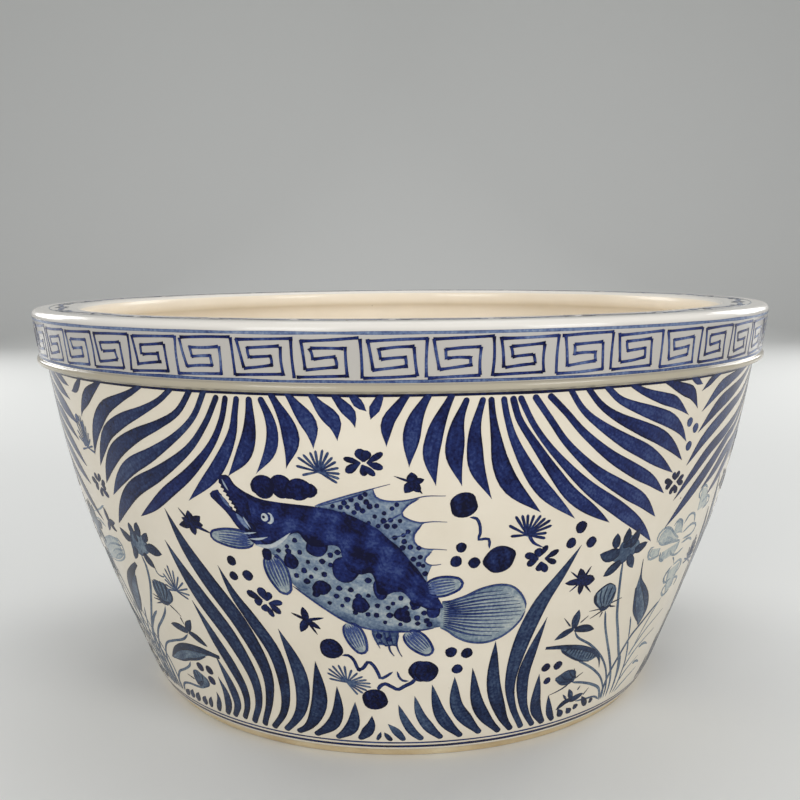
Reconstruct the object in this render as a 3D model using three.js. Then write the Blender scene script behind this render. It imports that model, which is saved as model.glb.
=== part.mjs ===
// Porcelain fish bowl: a wide, heavy planter of glazed porcelain, thrown and turned in
// sections that are luted together with slip and fired as one vessel.
// Millimetres, +Z up, standing on its foot ring with the axis of the bowl on Z.
import * as THREE from 'three';

// Overall size: across the rim, and from the ground to the rim
const rimDiameter = 410;
const bowlHeight = 212;

// Foot ring: the turned ring that the bowl stands on, bare of glaze where it stands
const footDiameter = 280;
const footRingWidth = 12;
const footRingHeight = 9;
const footRingDraft = 2;
const heelRadius = 2.4;
const footInnerBevel = 1.2;

// Floor: the slab over the recess of the foot, coved up into the wall
const floorThickness = 13;
const coveRadius = 30;

// Wall: thrown in two sections, thinning upwards, with their joint at the belly
const wallThicknessAtFloor = 12;
const wallThicknessAtCollar = 9;
const bellyJointHeight = 112;

// Rim collar: a flat-topped band that overhangs the wall outside and the mouth inside
const collarHeight = 29;
const collarOverhang = 7;
const collarProud = 2.4;
const collarTaper = 3.2;
const shoulderRadius = 4;
const lipOverhang = 9;
const lipRadius = 4;
const lipDepth = 9;

// Rolled moulding at the collar's foot
const mouldingHeight = 3.2;
const mouldingBulge = 1.3;
const mouldingFillet = 0.9;

// Outline of the wall, as shares of its rise from the ground to the collar and of its
// flare from foot to collar: a quick turn at the heel, then a long swelling curve
const wallRiseShares = [0, 0.03, 0.06, 0.17, 0.35, 0.58, 0.81, 1];
const wallFlareShares = [0, 0.085, 0.14, 0.275, 0.485, 0.73, 0.9, 1];

// Counts
const facetsRound = 72;
const stepsInArc = 5;
const stepsInWall = 5;

// Colours from the photograph
const glazeColour = '#d9d1bf';
const rimGlazeColour = '#e4e0d4';
const bareClayColour = '#c9b48c';

const footRadius = footDiameter / 2;
const rimRadius = rimDiameter / 2;
const seatRadius = rimRadius - collarOverhang;
const stepHeight = bowlHeight - collarHeight;
const floorHeight = footRingHeight + floorThickness;
const floorJointHeight = floorHeight + coveRadius;
const wallOutline = new THREE.CubicInterpolant(wallRiseShares, wallFlareShares, 1);

// Radius of the wall's outside at height z
function outsideRadius(z) {
  const riseShare = THREE.MathUtils.clamp(z / stepHeight, 0, 1);
  return THREE.MathUtils.lerp(footRadius, seatRadius, wallOutline.evaluate(riseShare)[0]);
}

// Radius of the wall's inside at height z
function insideRadius(z) {
  const thickness = THREE.MathUtils.mapLinear(
    z, floorHeight, stepHeight, wallThicknessAtFloor, wallThicknessAtCollar,
  );
  return outsideRadius(z) - thickness;
}

// Points of a wall face between two heights, from the radius that the face has there
function alongWall(radiusAt, from, to) {
  const points = [];
  for (let i = 0; i <= stepsInWall; i += 1) {
    const z = THREE.MathUtils.lerp(from, to, i / stepsInWall);
    points.push(new THREE.Vector2(radiusAt(z), z));
  }
  return points;
}

// Points of a round corner, turning from one direction to the next about its centre
function roundCorner(centreRadius, centreHeight, radius, fromAngle, toAngle) {
  const corner = new THREE.EllipseCurve(
    centreRadius, centreHeight, radius, radius, fromAngle, toAngle, toAngle < fromAngle,
  );
  return corner.getPoints(stepsInArc);
}

// One thrown section: its outline, run up the outside and down the inside, turned about Z
function thrown(name, outline, material) {
  const profile = outline[0].x > 0 ? [...outline, outline[0].clone()] : outline;
  const geometry = new THREE.LatheGeometry(profile, facetsRound);
  geometry.rotateX(Math.PI / 2);
  const mesh = new THREE.Mesh(geometry, material);
  mesh.name = name;
  return mesh;
}

// Foot ring, with a rounded heel outside and a drafted face towards the recess
function footRing(material) {
  const innerRadius = footRadius - footRingWidth;
  const heel = roundCorner(
    outsideRadius(heelRadius) - heelRadius, heelRadius, heelRadius, -Math.PI / 2, 0,
  );
  const outline = [
    ...heel,
    ...alongWall(outsideRadius, heelRadius, footRingHeight).slice(1),
    new THREE.Vector2(innerRadius - footRingDraft, footRingHeight),
    new THREE.Vector2(innerRadius, footInnerBevel),
    new THREE.Vector2(innerRadius + footInnerBevel, 0),
  ];
  return thrown('foot_ring', outline, material);
}

// Floor section: the slab, with the cove that carries it up into the wall
function floorSection(material) {
  const inside = insideRadius(floorJointHeight);
  const cove = new THREE.QuadraticBezierCurve(
    new THREE.Vector2(inside, floorJointHeight),
    new THREE.Vector2(insideRadius(floorHeight), floorHeight),
    new THREE.Vector2(insideRadius(floorHeight) - coveRadius, floorHeight),
  );
  const outline = [
    new THREE.Vector2(0, footRingHeight),
    ...alongWall(outsideRadius, footRingHeight, floorJointHeight),
    ...cove.getPoints(stepsInArc),
    new THREE.Vector2(0, floorHeight),
  ];
  return thrown('floor', outline, material);
}

// Ring of wall between two luted joints
function wallSection(name, from, to, material) {
  const outline = [
    ...alongWall(outsideRadius, from, to),
    ...alongWall(insideRadius, to, from),
  ];
  return thrown(name, outline, material);
}

// Rim collar: step over the wall, rolled moulding, tapering face, shoulder, flat top, lip
function rimCollar(material) {
  const mouthRadius = insideRadius(stepHeight) - lipOverhang;
  const faceFootRadius = rimRadius - collarTaper;
  const mouldingCentre = stepHeight + mouldingFillet + mouldingHeight / 2;
  const moulding = new THREE.EllipseCurve(
    faceFootRadius, mouldingCentre, mouldingBulge, mouldingHeight / 2, -Math.PI / 2, Math.PI / 2,
  );
  const shoulder = roundCorner(
    rimRadius - shoulderRadius, bowlHeight - shoulderRadius, shoulderRadius, 0, Math.PI / 2,
  );
  const lip = roundCorner(
    mouthRadius + lipRadius, bowlHeight - lipRadius, lipRadius, Math.PI / 2, Math.PI,
  );
  const underLip = new THREE.CubicBezierCurve(
    new THREE.Vector2(mouthRadius, bowlHeight - lipRadius),
    new THREE.Vector2(mouthRadius, bowlHeight - lipDepth),
    new THREE.Vector2(insideRadius(stepHeight), bowlHeight - lipDepth),
    new THREE.Vector2(insideRadius(stepHeight), stepHeight),
  );
  const outline = [
    new THREE.Vector2(seatRadius + collarProud, stepHeight),
    ...moulding.getPoints(stepsInArc),
    ...shoulder,
    ...lip,
    ...underLip.getPoints(stepsInArc).slice(1),
  ];
  return thrown('rim_collar', outline, material);
}

const glaze = new THREE.MeshStandardMaterial({
  name: 'wall_glaze', color: glazeColour, roughness: 0.16, metalness: 0,
});
const rimGlaze = new THREE.MeshStandardMaterial({
  name: 'rim_glaze', color: rimGlazeColour, roughness: 0.14, metalness: 0,
});
const bareClay = new THREE.MeshStandardMaterial({
  name: 'bare_clay', color: bareClayColour, roughness: 0.75, metalness: 0,
});

const bowl = new THREE.Group();
bowl.name = 'porcelain_bowl';
bowl.add(
  footRing(bareClay),
  floorSection(glaze),
  wallSection('lower_wall', floorJointHeight, bellyJointHeight, glaze),
  wallSection('upper_wall', bellyJointHeight, stepHeight, glaze),
  rimCollar(rimGlaze),
);

export default bowl;
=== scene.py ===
# %% [markdown]
# # A blue-and-white porcelain fish bowl
# The bowl is a wide planter, thrown on the wheel, luted together from turned sections, painted
# with cobalt while raw, dipped in glaze and fired once. This lesson builds it in that order:
# the clay body, the glaze, and then every stroke of the brush as a thin skin of its own, so
# that the drawing stays crisp from any distance and needs no picture file.
# All shapes are worked out as whole numpy arrays and handed to Blender at once.

# %% Open the frame that the CAD part gives
import math

import bpy
import numpy as np
from mathutils import Matrix, Vector


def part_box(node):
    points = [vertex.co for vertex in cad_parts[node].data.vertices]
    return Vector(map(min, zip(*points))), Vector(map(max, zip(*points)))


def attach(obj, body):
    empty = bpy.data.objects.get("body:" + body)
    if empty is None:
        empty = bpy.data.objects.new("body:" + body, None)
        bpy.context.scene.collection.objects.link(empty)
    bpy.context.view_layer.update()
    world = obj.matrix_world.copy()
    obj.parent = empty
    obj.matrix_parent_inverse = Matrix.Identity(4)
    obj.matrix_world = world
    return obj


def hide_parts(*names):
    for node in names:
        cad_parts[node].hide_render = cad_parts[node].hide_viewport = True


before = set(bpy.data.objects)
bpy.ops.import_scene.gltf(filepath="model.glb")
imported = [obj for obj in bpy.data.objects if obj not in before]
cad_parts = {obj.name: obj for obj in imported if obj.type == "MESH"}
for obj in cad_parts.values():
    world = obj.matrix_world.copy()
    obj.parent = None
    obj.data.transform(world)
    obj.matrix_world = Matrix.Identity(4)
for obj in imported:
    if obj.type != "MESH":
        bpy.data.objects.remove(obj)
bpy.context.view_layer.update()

# %% [markdown]
# ## The camera
# The photograph was taken from just above the rim, close to the bowl, with a fairly wide lens:
# that is why the mouth is a very thin ellipse and the foot looks small. The numbers come from
# lining up the rim, the foot and the painted lines. A camera looks along its own -Z, so its
# matrix is built from three directions: right, up and backwards.

# %% Place the camera
LENS_MM = 44.78
SENSOR_MM = 36
NEAREST_SEEN = 0.01
CAMERA_PLACE = (0.0, -0.5902, 0.2357)
TURN_LEFT = 0.0007
PITCH_DOWN = 0.1401
ROLL = 0.0083

level_ahead = Vector((-math.sin(TURN_LEFT), math.cos(TURN_LEFT), 0))
ahead = level_ahead * math.cos(PITCH_DOWN) - Vector((0, 0, math.sin(PITCH_DOWN)))
level_right = Vector((math.cos(TURN_LEFT), math.sin(TURN_LEFT), 0))
level_up = level_right.cross(ahead)
right = level_right * math.cos(ROLL) - level_up * math.sin(ROLL)
up = level_up * math.cos(ROLL) + level_right * math.sin(ROLL)
camera = bpy.data.objects.new("camera", bpy.data.cameras.new("camera"))
camera.data.lens = LENS_MM
camera.data.sensor_width = SENSOR_MM
camera.data.clip_start = NEAREST_SEEN
axes = Matrix((right, up, -ahead)).transposed().to_4x4()
camera.matrix_world = Matrix.Translation(CAMERA_PLACE) @ axes
bpy.context.scene.collection.objects.link(camera)
bpy.context.scene.camera = camera
print("camera looks", tuple(round(c, 3) for c in ahead))

# %% [markdown]
# ## Sizes read from the CAD part
# Blender changes nothing about the bowl's size, so every size is measured on the CAD nodes.
# A turned part is known by its outline: the radius of each face at each height. The nodes are
# faceted, but their corners lie on the true round, so the outline can be read from them
# exactly. From here on the lesson counts in millimetres and in degrees round the bowl, from
# the front, with plus to the viewer's right, and turns them into metres when a mesh is made.

# %% Read radii at each height
MM_IN_METRE = 1000
SAME_LEVEL = 0.002


def corners_of(node):
    """Radius and height of every corner of a CAD node, in millimetres."""
    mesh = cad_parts[node].data
    place = np.empty(len(mesh.vertices) * 3)
    mesh.vertices.foreach_get("co", place)
    x, y, z = place.reshape(-1, 3).T * MM_IN_METRE
    return np.hypot(x, y), z


def face_of(nodes, pick):
    """Outline of the outer face (pick is max) or inner face (pick is min) of some nodes:
    at each height, the largest or smallest radius that a corner has there."""
    radius, height = np.concatenate([corners_of(n) for n in nodes], 1)
    levels = np.unique(height.round(3))
    radii = np.array([pick(radius[abs(height - level) < SAME_LEVEL]) for level in levels])
    return levels, radii


RIM_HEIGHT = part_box("rim_collar")[1].z * MM_IN_METRE
RIM_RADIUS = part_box("rim_collar")[1].x * MM_IN_METRE
STEP_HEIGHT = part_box("rim_collar")[0].z * MM_IN_METRE
FOOT_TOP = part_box("foot_ring")[1].z * MM_IN_METRE
print("rim", RIM_RADIUS, "mm round and", RIM_HEIGHT, "mm up; the step is at", STEP_HEIGHT)

# %% [markdown]
# ## Smooth outlines
# Between the corners that the CAD gives, the real wall swells smoothly. A cubic through each
# pair of corners, with the slope that the neighbours on both sides suggest, gives that curve
# back without bumps.

# %% Curve through measured points
def swelling(at, known_at, known):
    """Smooth value between known ones: a cubic on each span that has the known values and
    slopes at its ends (Hermite form), with slopes measured over the neighbouring spans."""
    slope = np.gradient(known, known_at)
    i = np.clip(np.searchsorted(known_at, at) - 1, 0, len(known_at) - 2)
    span = known_at[i + 1] - known_at[i]
    t = (at - known_at[i]) / span
    rise = known[i + 1] - known[i]
    bend_in = slope[i] * span - rise
    bend_out = rise - slope[i + 1] * span
    return known[i] + t * rise + t * (1 - t) * ((1 - t) * bend_in + t * bend_out)


outer_levels, outer_radii = face_of(["foot_ring", "floor", "lower_wall", "upper_wall"], np.max)
outside_only = outer_radii >= np.maximum.accumulate(outer_radii)
outer_levels, outer_radii = outer_levels[outside_only], outer_radii[outside_only]
inner_levels, inner_radii = face_of(["lower_wall", "upper_wall"], np.min)


def outer_wall(height):
    """Radius of the wall's outside at a height, both in millimetres."""
    return swelling(np.asarray(height, float), outer_levels, outer_radii)


print("outside radius at 10, 50, 100, 150 mm:", outer_wall([10, 50, 100, 150]).round(2))

# %% [markdown]
# ## Turned pieces
# A potter's outline carried once round the axis gives the whole piece. The grid has one row
# for each point of the outline and one column for each step round. Where the outline meets
# the axis all columns share a single corner, so the pole is closed.

# %% Round the corners of an outline
ROUNDS = 360
CORNER_STEPS = 7


def round_off(corners):
    """Outline with rounded corners. Each corner is (radius, height, rounding): the curve
    leaves the straight side `rounding` before the corner and joins the next side as far
    after it, along the parabola that both sides touch."""
    corner = np.array(corners, float)
    place, reach = corner[:, :2], corner[:, 2:]
    back = np.roll(place, 1, 0) - place
    on = np.roll(place, -1, 0) - place
    start = place + back / np.linalg.norm(back, axis=1, keepdims=True) * reach
    end = place + on / np.linalg.norm(on, axis=1, keepdims=True) * reach
    t = np.linspace(0, 1, CORNER_STEPS)[None, :, None]
    curve = ((1 - t) ** 2 * start[:, None] + 2 * t * (1 - t) * place[:, None]
             + t ** 2 * end[:, None])
    return curve.reshape(-1, 2)


def fill_rows(rows, closed):
    """Numbers of the corners, one row to each ring, and the quads between the rings. A
    closed outline has its first ring again after its last."""
    numbers = np.arange(rows * ROUNDS).reshape(rows, ROUNDS)
    if closed:
        numbers = np.vstack([numbers, numbers[:1]])
    a, b = numbers[:-1], numbers[1:]
    quads = np.stack([a, np.roll(a, -1, 1), np.roll(b, -1, 1), b], -1)
    return numbers, quads.reshape(-1, 4)


# %% Turn an outline round the axis
SHARP_DEGREES = 40


def turned(name, outline, finishes, finish_of):
    """Piece whose corners are (r sin a, -r cos a, z) for each outline point and each a.
    The outline runs up the outside and down the inside, so that faces point outwards. From
    the faces' centres, `finish_of` tells which of the finishes each face has."""
    r, z = np.asarray(outline, float).T / MM_IN_METRE
    on_axis = r[0] < 1e-6
    body = slice(1, -1) if on_axis else slice(None)
    a = np.arange(ROUNDS) * 2 * np.pi / ROUNDS
    rr, zz = r[body, None], z[body, None]
    place = np.stack([rr * np.sin(a), -rr * np.cos(a), zz + 0 * a], -1).reshape(-1, 3)
    numbers, quads = fill_rows(len(rr), not on_axis)
    faces = quads.tolist()
    if on_axis:
        poles = len(place) + np.arange(2)
        place = np.vstack([place, [0, 0, z[0]], [0, 0, z[-1]]])
        low, high = numbers[0], numbers[-1]
        fan_low = np.stack([np.full(ROUNDS, poles[0]), np.roll(low, -1), low], -1)
        fan_high = np.stack([np.full(ROUNDS, poles[1]), high, np.roll(high, -1)], -1)
        faces += fan_low.tolist() + fan_high.tolist()
    mesh = bpy.data.meshes.new(name)
    mesh.from_pydata(place.tolist(), [], faces)
    mesh.polygons.foreach_set("use_smooth", np.ones(len(faces), bool))
    for finish in finishes:
        mesh.materials.append(finish)
    centre = np.empty(len(faces) * 3)
    mesh.polygons.foreach_get("center", centre)
    choice = finish_of(centre.reshape(-1, 3) * MM_IN_METRE)
    mesh.polygons.foreach_set("material_index", choice)
    mesh.set_sharp_from_angle(angle=math.radians(SHARP_DEGREES))
    piece = bpy.data.objects.new(name, mesh)
    bpy.context.scene.collection.objects.link(piece)
    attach(piece, "root")
    print(name, len(faces), "faces")
    return piece


# %% [markdown]
# ## Helpers for materials
# Each finish is a small graph of nodes. One helper starts a material with its main shader, one
# feeds a socket with a value or with another node's result, and the rest add the nodes that
# every finish needs: any node by its kind, a sum of two numbers, a ramp of colours and a mix of
# two colours. Values that are the same all over a surface go on the shader's own sockets.

# %% Start a material
def finish_named(name, roughness):
    """New material with one Principled shader of that roughness; gives it and its tree."""
    material = bpy.data.materials.new(name)
    material.use_nodes = True
    tree = material.node_tree
    shader = tree.nodes["Principled BSDF"]
    shader.inputs["Roughness"].default_value = roughness
    return material, tree, shader


def feed(tree, socket, value):
    """Joins another node's socket to this one, or sets this one to a plain value."""
    if isinstance(value, bpy.types.NodeSocket):
        tree.links.new(value, socket)
    else:
        socket.default_value = value


def add(tree, kind, settings=(), **inputs):
    """Adds a node, sets its options, and feeds its inputs by name."""
    node = tree.nodes.new("ShaderNode" + kind)
    for option, value in dict(settings).items():
        setattr(node, option, value)
    for name, value in inputs.items():
        feed(tree, node.inputs[name.replace("_", " ")], value)
    return node


def sums(tree, operation, first, second):
    """Socket with the result of a sum of two numbers or sockets."""
    node = add(tree, "Math", dict(operation=operation))
    feed(tree, node.inputs[0], first)
    feed(tree, node.inputs[1], second)
    return node.outputs[0]


# %% Colours
# a Mix node has sockets for every kind of data, and these are the numbers of the colour ones
MIX_FACTOR, MIX_FIRST, MIX_SECOND, MIX_RESULT = 0, 6, 7, 2


def seen_colour(red, green, blue):
    """Linear colour, with alpha, for a colour as it is seen on a screen, 0 to 255."""
    c = np.array([red, green, blue]) / 255
    linear = np.where(c <= 0.04045, c / 12.92, ((c + 0.055) / 1.055) ** 2.4)
    return (*linear.tolist(), 1.0)


def ramp(tree, factor, stops):
    """Colour socket that runs through (place, seen colour) stops as the factor grows."""
    node = add(tree, "ValToRGB", Fac=factor)
    marks = node.color_ramp.elements
    while len(marks) < len(stops):
        marks.new(0.5)
    for mark, (place, colour) in zip(marks, stops):
        mark.position = place
        mark.color = seen_colour(*colour)
    return node.outputs["Color"]


def blend_colours(tree, factor, first, second):
    """Colour socket that goes from the first colour to the second with the factor."""
    node = add(tree, "Mix", dict(data_type="RGBA"))
    feed(tree, node.inputs[MIX_FACTOR], factor)
    feed(tree, node.inputs[MIX_FIRST], first)
    feed(tree, node.inputs[MIX_SECOND], second)
    return node.outputs[MIX_RESULT]


# %% [markdown]
# ## The skin of the glaze
# A dipped glaze is never flat. It follows the throwing rings, swells a little where it ran,
# and has a faint orange peel. The same relief has to carry on under the painting, so it is
# made by one helper that every glazed finish calls: broad swells, faint turning rings that
# depend on height alone, and a fine peel, all on the Object coordinates that every piece
# shares.

# %% Relief that all glazed finishes share
SWELL, THROWING_RINGS, PEEL = 0.0011, 0.0011 * 0.22, 0.000035


def glaze_relief(tree, shader):
    """Joins a Normal to the shader: wide noise, then noise stretched round the bowl so that
    it changes with height only, then fine noise, each as a bump on the one before."""
    place = add(tree, "TexCoord").outputs["Object"]
    wide = add(tree, "TexNoise", Vector=place, Scale=11.0, Detail=1.5)
    stretched = add(tree, "Mapping", Vector=place, Scale=(3.0, 3.0, 60.0))
    rings = add(tree, "TexNoise", Vector=stretched.outputs[0], Scale=1.0, Detail=2.0)
    fine = add(tree, "TexNoise", Vector=place, Scale=420.0, Detail=1.0)
    first = add(tree, "Bump", Height=wide.outputs[0], Distance=SWELL)
    second = add(tree, "Bump", Height=rings.outputs[0], Distance=THROWING_RINGS,
                 Normal=first.outputs[0])
    third = add(tree, "Bump", Height=fine.outputs[0], Distance=PEEL,
                Normal=second.outputs[0])
    tree.links.new(third.outputs[0], shader.inputs["Normal"])
    return place


def specks(tree, place, scale, few, size):
    """Mask of small round spots: near the middle of some cells of a Voronoi pattern."""
    cells = add(tree, "TexVoronoi", Vector=place, Scale=scale)
    lot = add(tree, "SeparateColor", Color=cells.outputs["Color"]).outputs[0]
    chosen = sums(tree, "GREATER_THAN", lot, few)
    near = add(tree, "MapRange", dict(interpolation_type="SMOOTHSTEP"),
               Value=cells.outputs["Distance"], From_Min=size, From_Max=size * 0.4,
               To_Min=0.0, To_Max=1.0)
    return sums(tree, "MULTIPLY", chosen, near.outputs[0])


# %% [markdown]
# ## Glazes and bare clay
# The wall glaze is a warm greyish white, the rim's glaze a cooler white, the inside is a warm
# beige, and the foot is bare buff clay. On the collar the colour changes with height: the face
# that carries the fret is painted darker as painted shade, since it gets less light, the
# moulding is buff, partly thin glaze and partly painted shade and painted reflection, and the
# shoulder and top keep the pale glaze. Iron in the clay shows through the glaze as brown pin
# specks, and the tone drifts softly where the glaze is thin.

# %% Glaze with drift of tone and iron specks
SPECK = (122, 92, 58)
SPECK_STRENGTH = 0.75
# share of the bands of painted shade and thin glaze in the glaze's colour
PAINTED_SHADE_BAND_STRENGTH = 0.75
GLOSS = 0.3


def glaze(name, pale, deep, roughness, few, shade_bands=None):
    """Glaze whose colour drifts between a pale and a deep tone with wide and medium noise,
    with brown iron specks over it. Shade bands, where given, blend in painted shade and other
    tones by the height in metres."""
    material, tree, shader = finish_named(name, roughness)
    shader.inputs["Specular IOR Level"].default_value = GLOSS
    place = glaze_relief(tree, shader)
    drift = add(tree, "TexNoise", Vector=place, Scale=22.0, Detail=4.0, Roughness=0.6)
    tone = ramp(tree, drift.outputs[0], [(0.3, deep), (0.68, pale)])
    if shade_bands:
        low, high, tones = shade_bands
        height = add(tree, "SeparateXYZ", Vector=place).outputs[2]
        share = add(tree, "MapRange", Value=height, From_Min=low, From_Max=high)
        # blends in the bands' painted shade and thin glaze by height
        tone = blend_colours(tree, PAINTED_SHADE_BAND_STRENGTH, tone, ramp(tree, share.outputs[0], tones))
    large = specks(tree, place, 38.0, few, 0.030)
    small = specks(tree, place, 95.0, few, 0.055)
    speck = sums(tree, "MULTIPLY", sums(tree, "MAXIMUM", large, small), SPECK_STRENGTH)
    spotted = blend_colours(tree, speck, tone, seen_colour(*SPECK))
    tree.links.new(spotted, shader.inputs["Base Color"])
    return material


# collar colours by height: buff on the moulding, partly thin glaze and partly painted shade and
# painted reflection; a darker grey on the face as painted shade; the pale glaze on the shoulder
# and top
RIM_THIN_GLAZE_AND_PAINTED_SHADE = (0.183, 0.213, [(0.1, (152, 141, 114)), (0.16, (158, 149, 127)),
                            (0.2, (166, 162, 156)), (0.78, (168, 164, 160)),
                            (0.9, (229, 225, 218))])
wall_glaze = glaze("wall_glaze", (229, 220, 203), (221, 211, 192), 0.17, 0.90)
rim_glaze = glaze("rim_glaze", (229, 225, 217), (222, 216, 206), 0.15, 0.94, RIM_THIN_GLAZE_AND_PAINTED_SHADE)
inside_glaze = glaze("inside_glaze", (244, 234, 217), (238, 227, 208), 0.2, 0.86)


# %% Bare clay of the foot
def bare_clay_finish():
    """Matt buff clay, with grain from fine noise in colour and relief, and darker patches
    where it has been handled."""
    material, tree, shader = finish_named("bare_clay", 0.78)
    place = add(tree, "TexCoord").outputs["Object"]
    patch = add(tree, "TexNoise", Vector=place, Scale=26.0, Detail=6.0, Roughness=0.65)
    tone = ramp(tree, patch.outputs[0],
                [(0.3, (188, 162, 120)), (0.5, (214, 192, 152)), (0.7, (230, 214, 180))])
    grain = add(tree, "TexNoise", Vector=place, Scale=900.0, Detail=3.0)
    bump = add(tree, "Bump", Height=grain.outputs[0], Distance=0.0003)
    tree.links.new(tone, shader.inputs["Base Color"])
    tree.links.new(bump.outputs[0], shader.inputs["Normal"])
    return material


bare_clay = bare_clay_finish()
print("finishes:", [m.name for m in (wall_glaze, rim_glaze, inside_glaze, bare_clay)])

# %% [markdown]
# ## Foot ring
# The bowl stands on a turned ring. The potter wipes the glaze off where it would stick to the
# kiln shelf, so the lowest few millimetres are bare clay, and the glaze ends above them in a
# small rolled edge. The outline is the CAD ring's, with the glaze's edge added.

# %% Turn the foot ring
GLAZE_LINE = 5.4
GLAZE_EDGE = 0.22
ring_radius, ring_height = corners_of("foot_ring")
stand_inner = ring_radius[ring_height < 0.01].min()
stand_outer = ring_radius[ring_height < 0.01].max()
recess = ring_radius[abs(ring_height - FOOT_TOP) < 0.01].min()
bare_heights = [2.6, 4.0, GLAZE_LINE - 0.35]
glazed_heights = [5.5, 6.2, 7.2, FOOT_TOP]
glaze_over = [GLAZE_EDGE, GLAZE_EDGE * 0.6, 0, 0]
outline_foot = np.vstack([
    [[stand_inner - 0.7, 0.35], [stand_inner, 0.05], [stand_inner + 0.6, 0]],
    [[stand_outer - 1, 0], [stand_outer + 0.5, 0.1], [stand_outer + 1.35, 0.62]],
    np.stack([outer_wall(bare_heights), bare_heights], 1),
    [[outer_wall(GLAZE_LINE - 0.2) + GLAZE_EDGE * 0.7, GLAZE_LINE - 0.2]],
    np.stack([outer_wall(glazed_heights) + glaze_over, glazed_heights], 1),
    [[recess, FOOT_TOP], [recess + 1, 5], [stand_inner - 1.2, 1.2]],
])


def bare_below_line(centre):
    """1 for faces of the foot that stay bare: under the glaze line, or in the recess."""
    radius = np.hypot(centre[:, 0], centre[:, 1])
    return ((centre[:, 2] < GLAZE_LINE - 0.3) | (radius < stand_outer - 2)).astype(int)


foot = turned("foot_ring_turned", outline_foot, [wall_glaze, bare_clay], bare_below_line)
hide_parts("foot_ring")

# %% [markdown]
# ## Body: floor and wall
# The floor is coved up into the wall, and the wall swells to the step under the collar. The
# luting joints between the thrown sections don't show on a finished bowl, so one piece stands
# for the three CAD nodes. The cove is a parabola that touches both the floor and the wall,
# which leans in by a share of the cove's reach. The inside takes the beige glaze.

# %% Turn the body
WALL_ROWS, INNER_ROWS, COVE_ROWS, FLOOR_ROWS = 64, 44, 14, 12
COVE_LEAN = 0.385
HALF_WALL = 4
axis_radius, axis_height = corners_of("floor")
FLOOR_TOP = axis_height[axis_radius < 1].max()
wall_heights = np.linspace(FOOT_TOP, STEP_HEIGHT, WALL_ROWS)
inner_heights = np.linspace(STEP_HEIGHT, inner_levels[0], INNER_ROWS)
outside = np.stack([outer_wall(wall_heights), wall_heights], 1)
inside = np.stack([swelling(inner_heights, inner_levels, inner_radii), inner_heights], 1)
cove_reach = inner_levels[0] - FLOOR_TOP
t = np.linspace(0, 1, COVE_ROWS)[1:, None]
cove_start = inside[-1]
cove_turn = np.array([cove_start[0] - cove_reach * COVE_LEAN, FLOOR_TOP])
cove_end = cove_turn - [cove_reach, 0]
cove = (1 - t) ** 2 * cove_start + 2 * t * (1 - t) * cove_turn + t ** 2 * cove_end
floor_radii = np.linspace(cove_end[0], 0, FLOOR_ROWS)[1:, None]
underside = [[radius, FOOT_TOP] for radius in (0, 60, 115)]
floor_top = np.hstack([floor_radii, np.full_like(floor_radii, FLOOR_TOP)])
outline_body = np.vstack([underside, outside, inside, cove, floor_top])


def lined_inside(centre):
    """1 for faces of the inside: those nearer the axis than the middle of the wall."""
    radius = np.hypot(centre[:, 0], centre[:, 1])
    inner = radius < outer_wall(np.clip(centre[:, 2], 0, STEP_HEIGHT)) - HALF_WALL
    return (inner & (centre[:, 2] > FOOT_TOP + 1)).astype(int)


body = turned("body_thrown", outline_body, [wall_glaze, inside_glaze], lined_inside)
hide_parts("floor", "lower_wall", "upper_wall")

# %% [markdown]
# ## Rim collar
# The collar takes the most skill at the wheel: it steps out over the wall, starts with a
# rolled moulding, leans outwards, turns over a soft shoulder to a flat top, and ends in a
# round lip that overhangs the mouth. Its outline is given as distances in from the rim and
# down from the top, each with the rounding of that corner.

# %% Turn the collar
LIP_WIDTH = 10
LIP_GLAZE_DROP = 1.8
collar_corners = [
    # inset from the rim, drop from the top, rounding
    (16.0, 29.0, 0.3), (4.7, 29.0, 0.4), (3.5, 28.2, 0.35), (1.9, 27.9, 1.0),
    (1.9, 25.2, 1.0), (3.2, 24.7, 0.5), (0.0, 0.0, 4.2), (25.0, 0.0, 4.0),
    (25.0, 9.0, 4.0), (16.0, 13.0, 6.0),
]
inset, drop, rounding = np.array(collar_corners).T
outline_collar = round_off(np.stack([RIM_RADIUS - inset, RIM_HEIGHT - drop, rounding], 1))
lip_radius = RIM_RADIUS - inset.max()


def glazed_inside(centre):
    """1 for faces on and under the lip, which the inside glaze covers."""
    radius = np.hypot(centre[:, 0], centre[:, 1])
    below = centre[:, 2] < RIM_HEIGHT - LIP_GLAZE_DROP
    return ((radius < lip_radius + LIP_WIDTH) & below).astype(int)


collar = turned("rim_collar_turned", outline_collar, [rim_glaze, inside_glaze], glazed_inside)
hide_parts("rim_collar")

# %% [markdown]
# ## The painted faces
# The painter works on three faces: the wall, the collar's leaning face and the flat of the
# rim. Each one is kept as a table that runs along the outline: a place on the face, with its
# radius, height and outward direction. A point of the drawing is then a pair of numbers, the
# degrees round the bowl and the place along the face, and the table puts it in space.

# %% Faces to paint on
def face_to_paint(along, radius, height):
    """Table of a face: for each place along the outline its radius and height, and the
    outward direction, which is the outline's own direction turned by a quarter turn."""
    run, rise = np.gradient(radius), np.gradient(height)
    length = np.hypot(run, rise)
    return {"along": along, "radius": radius, "height": height,
            "out": rise / length, "up": -run / length}


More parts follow.
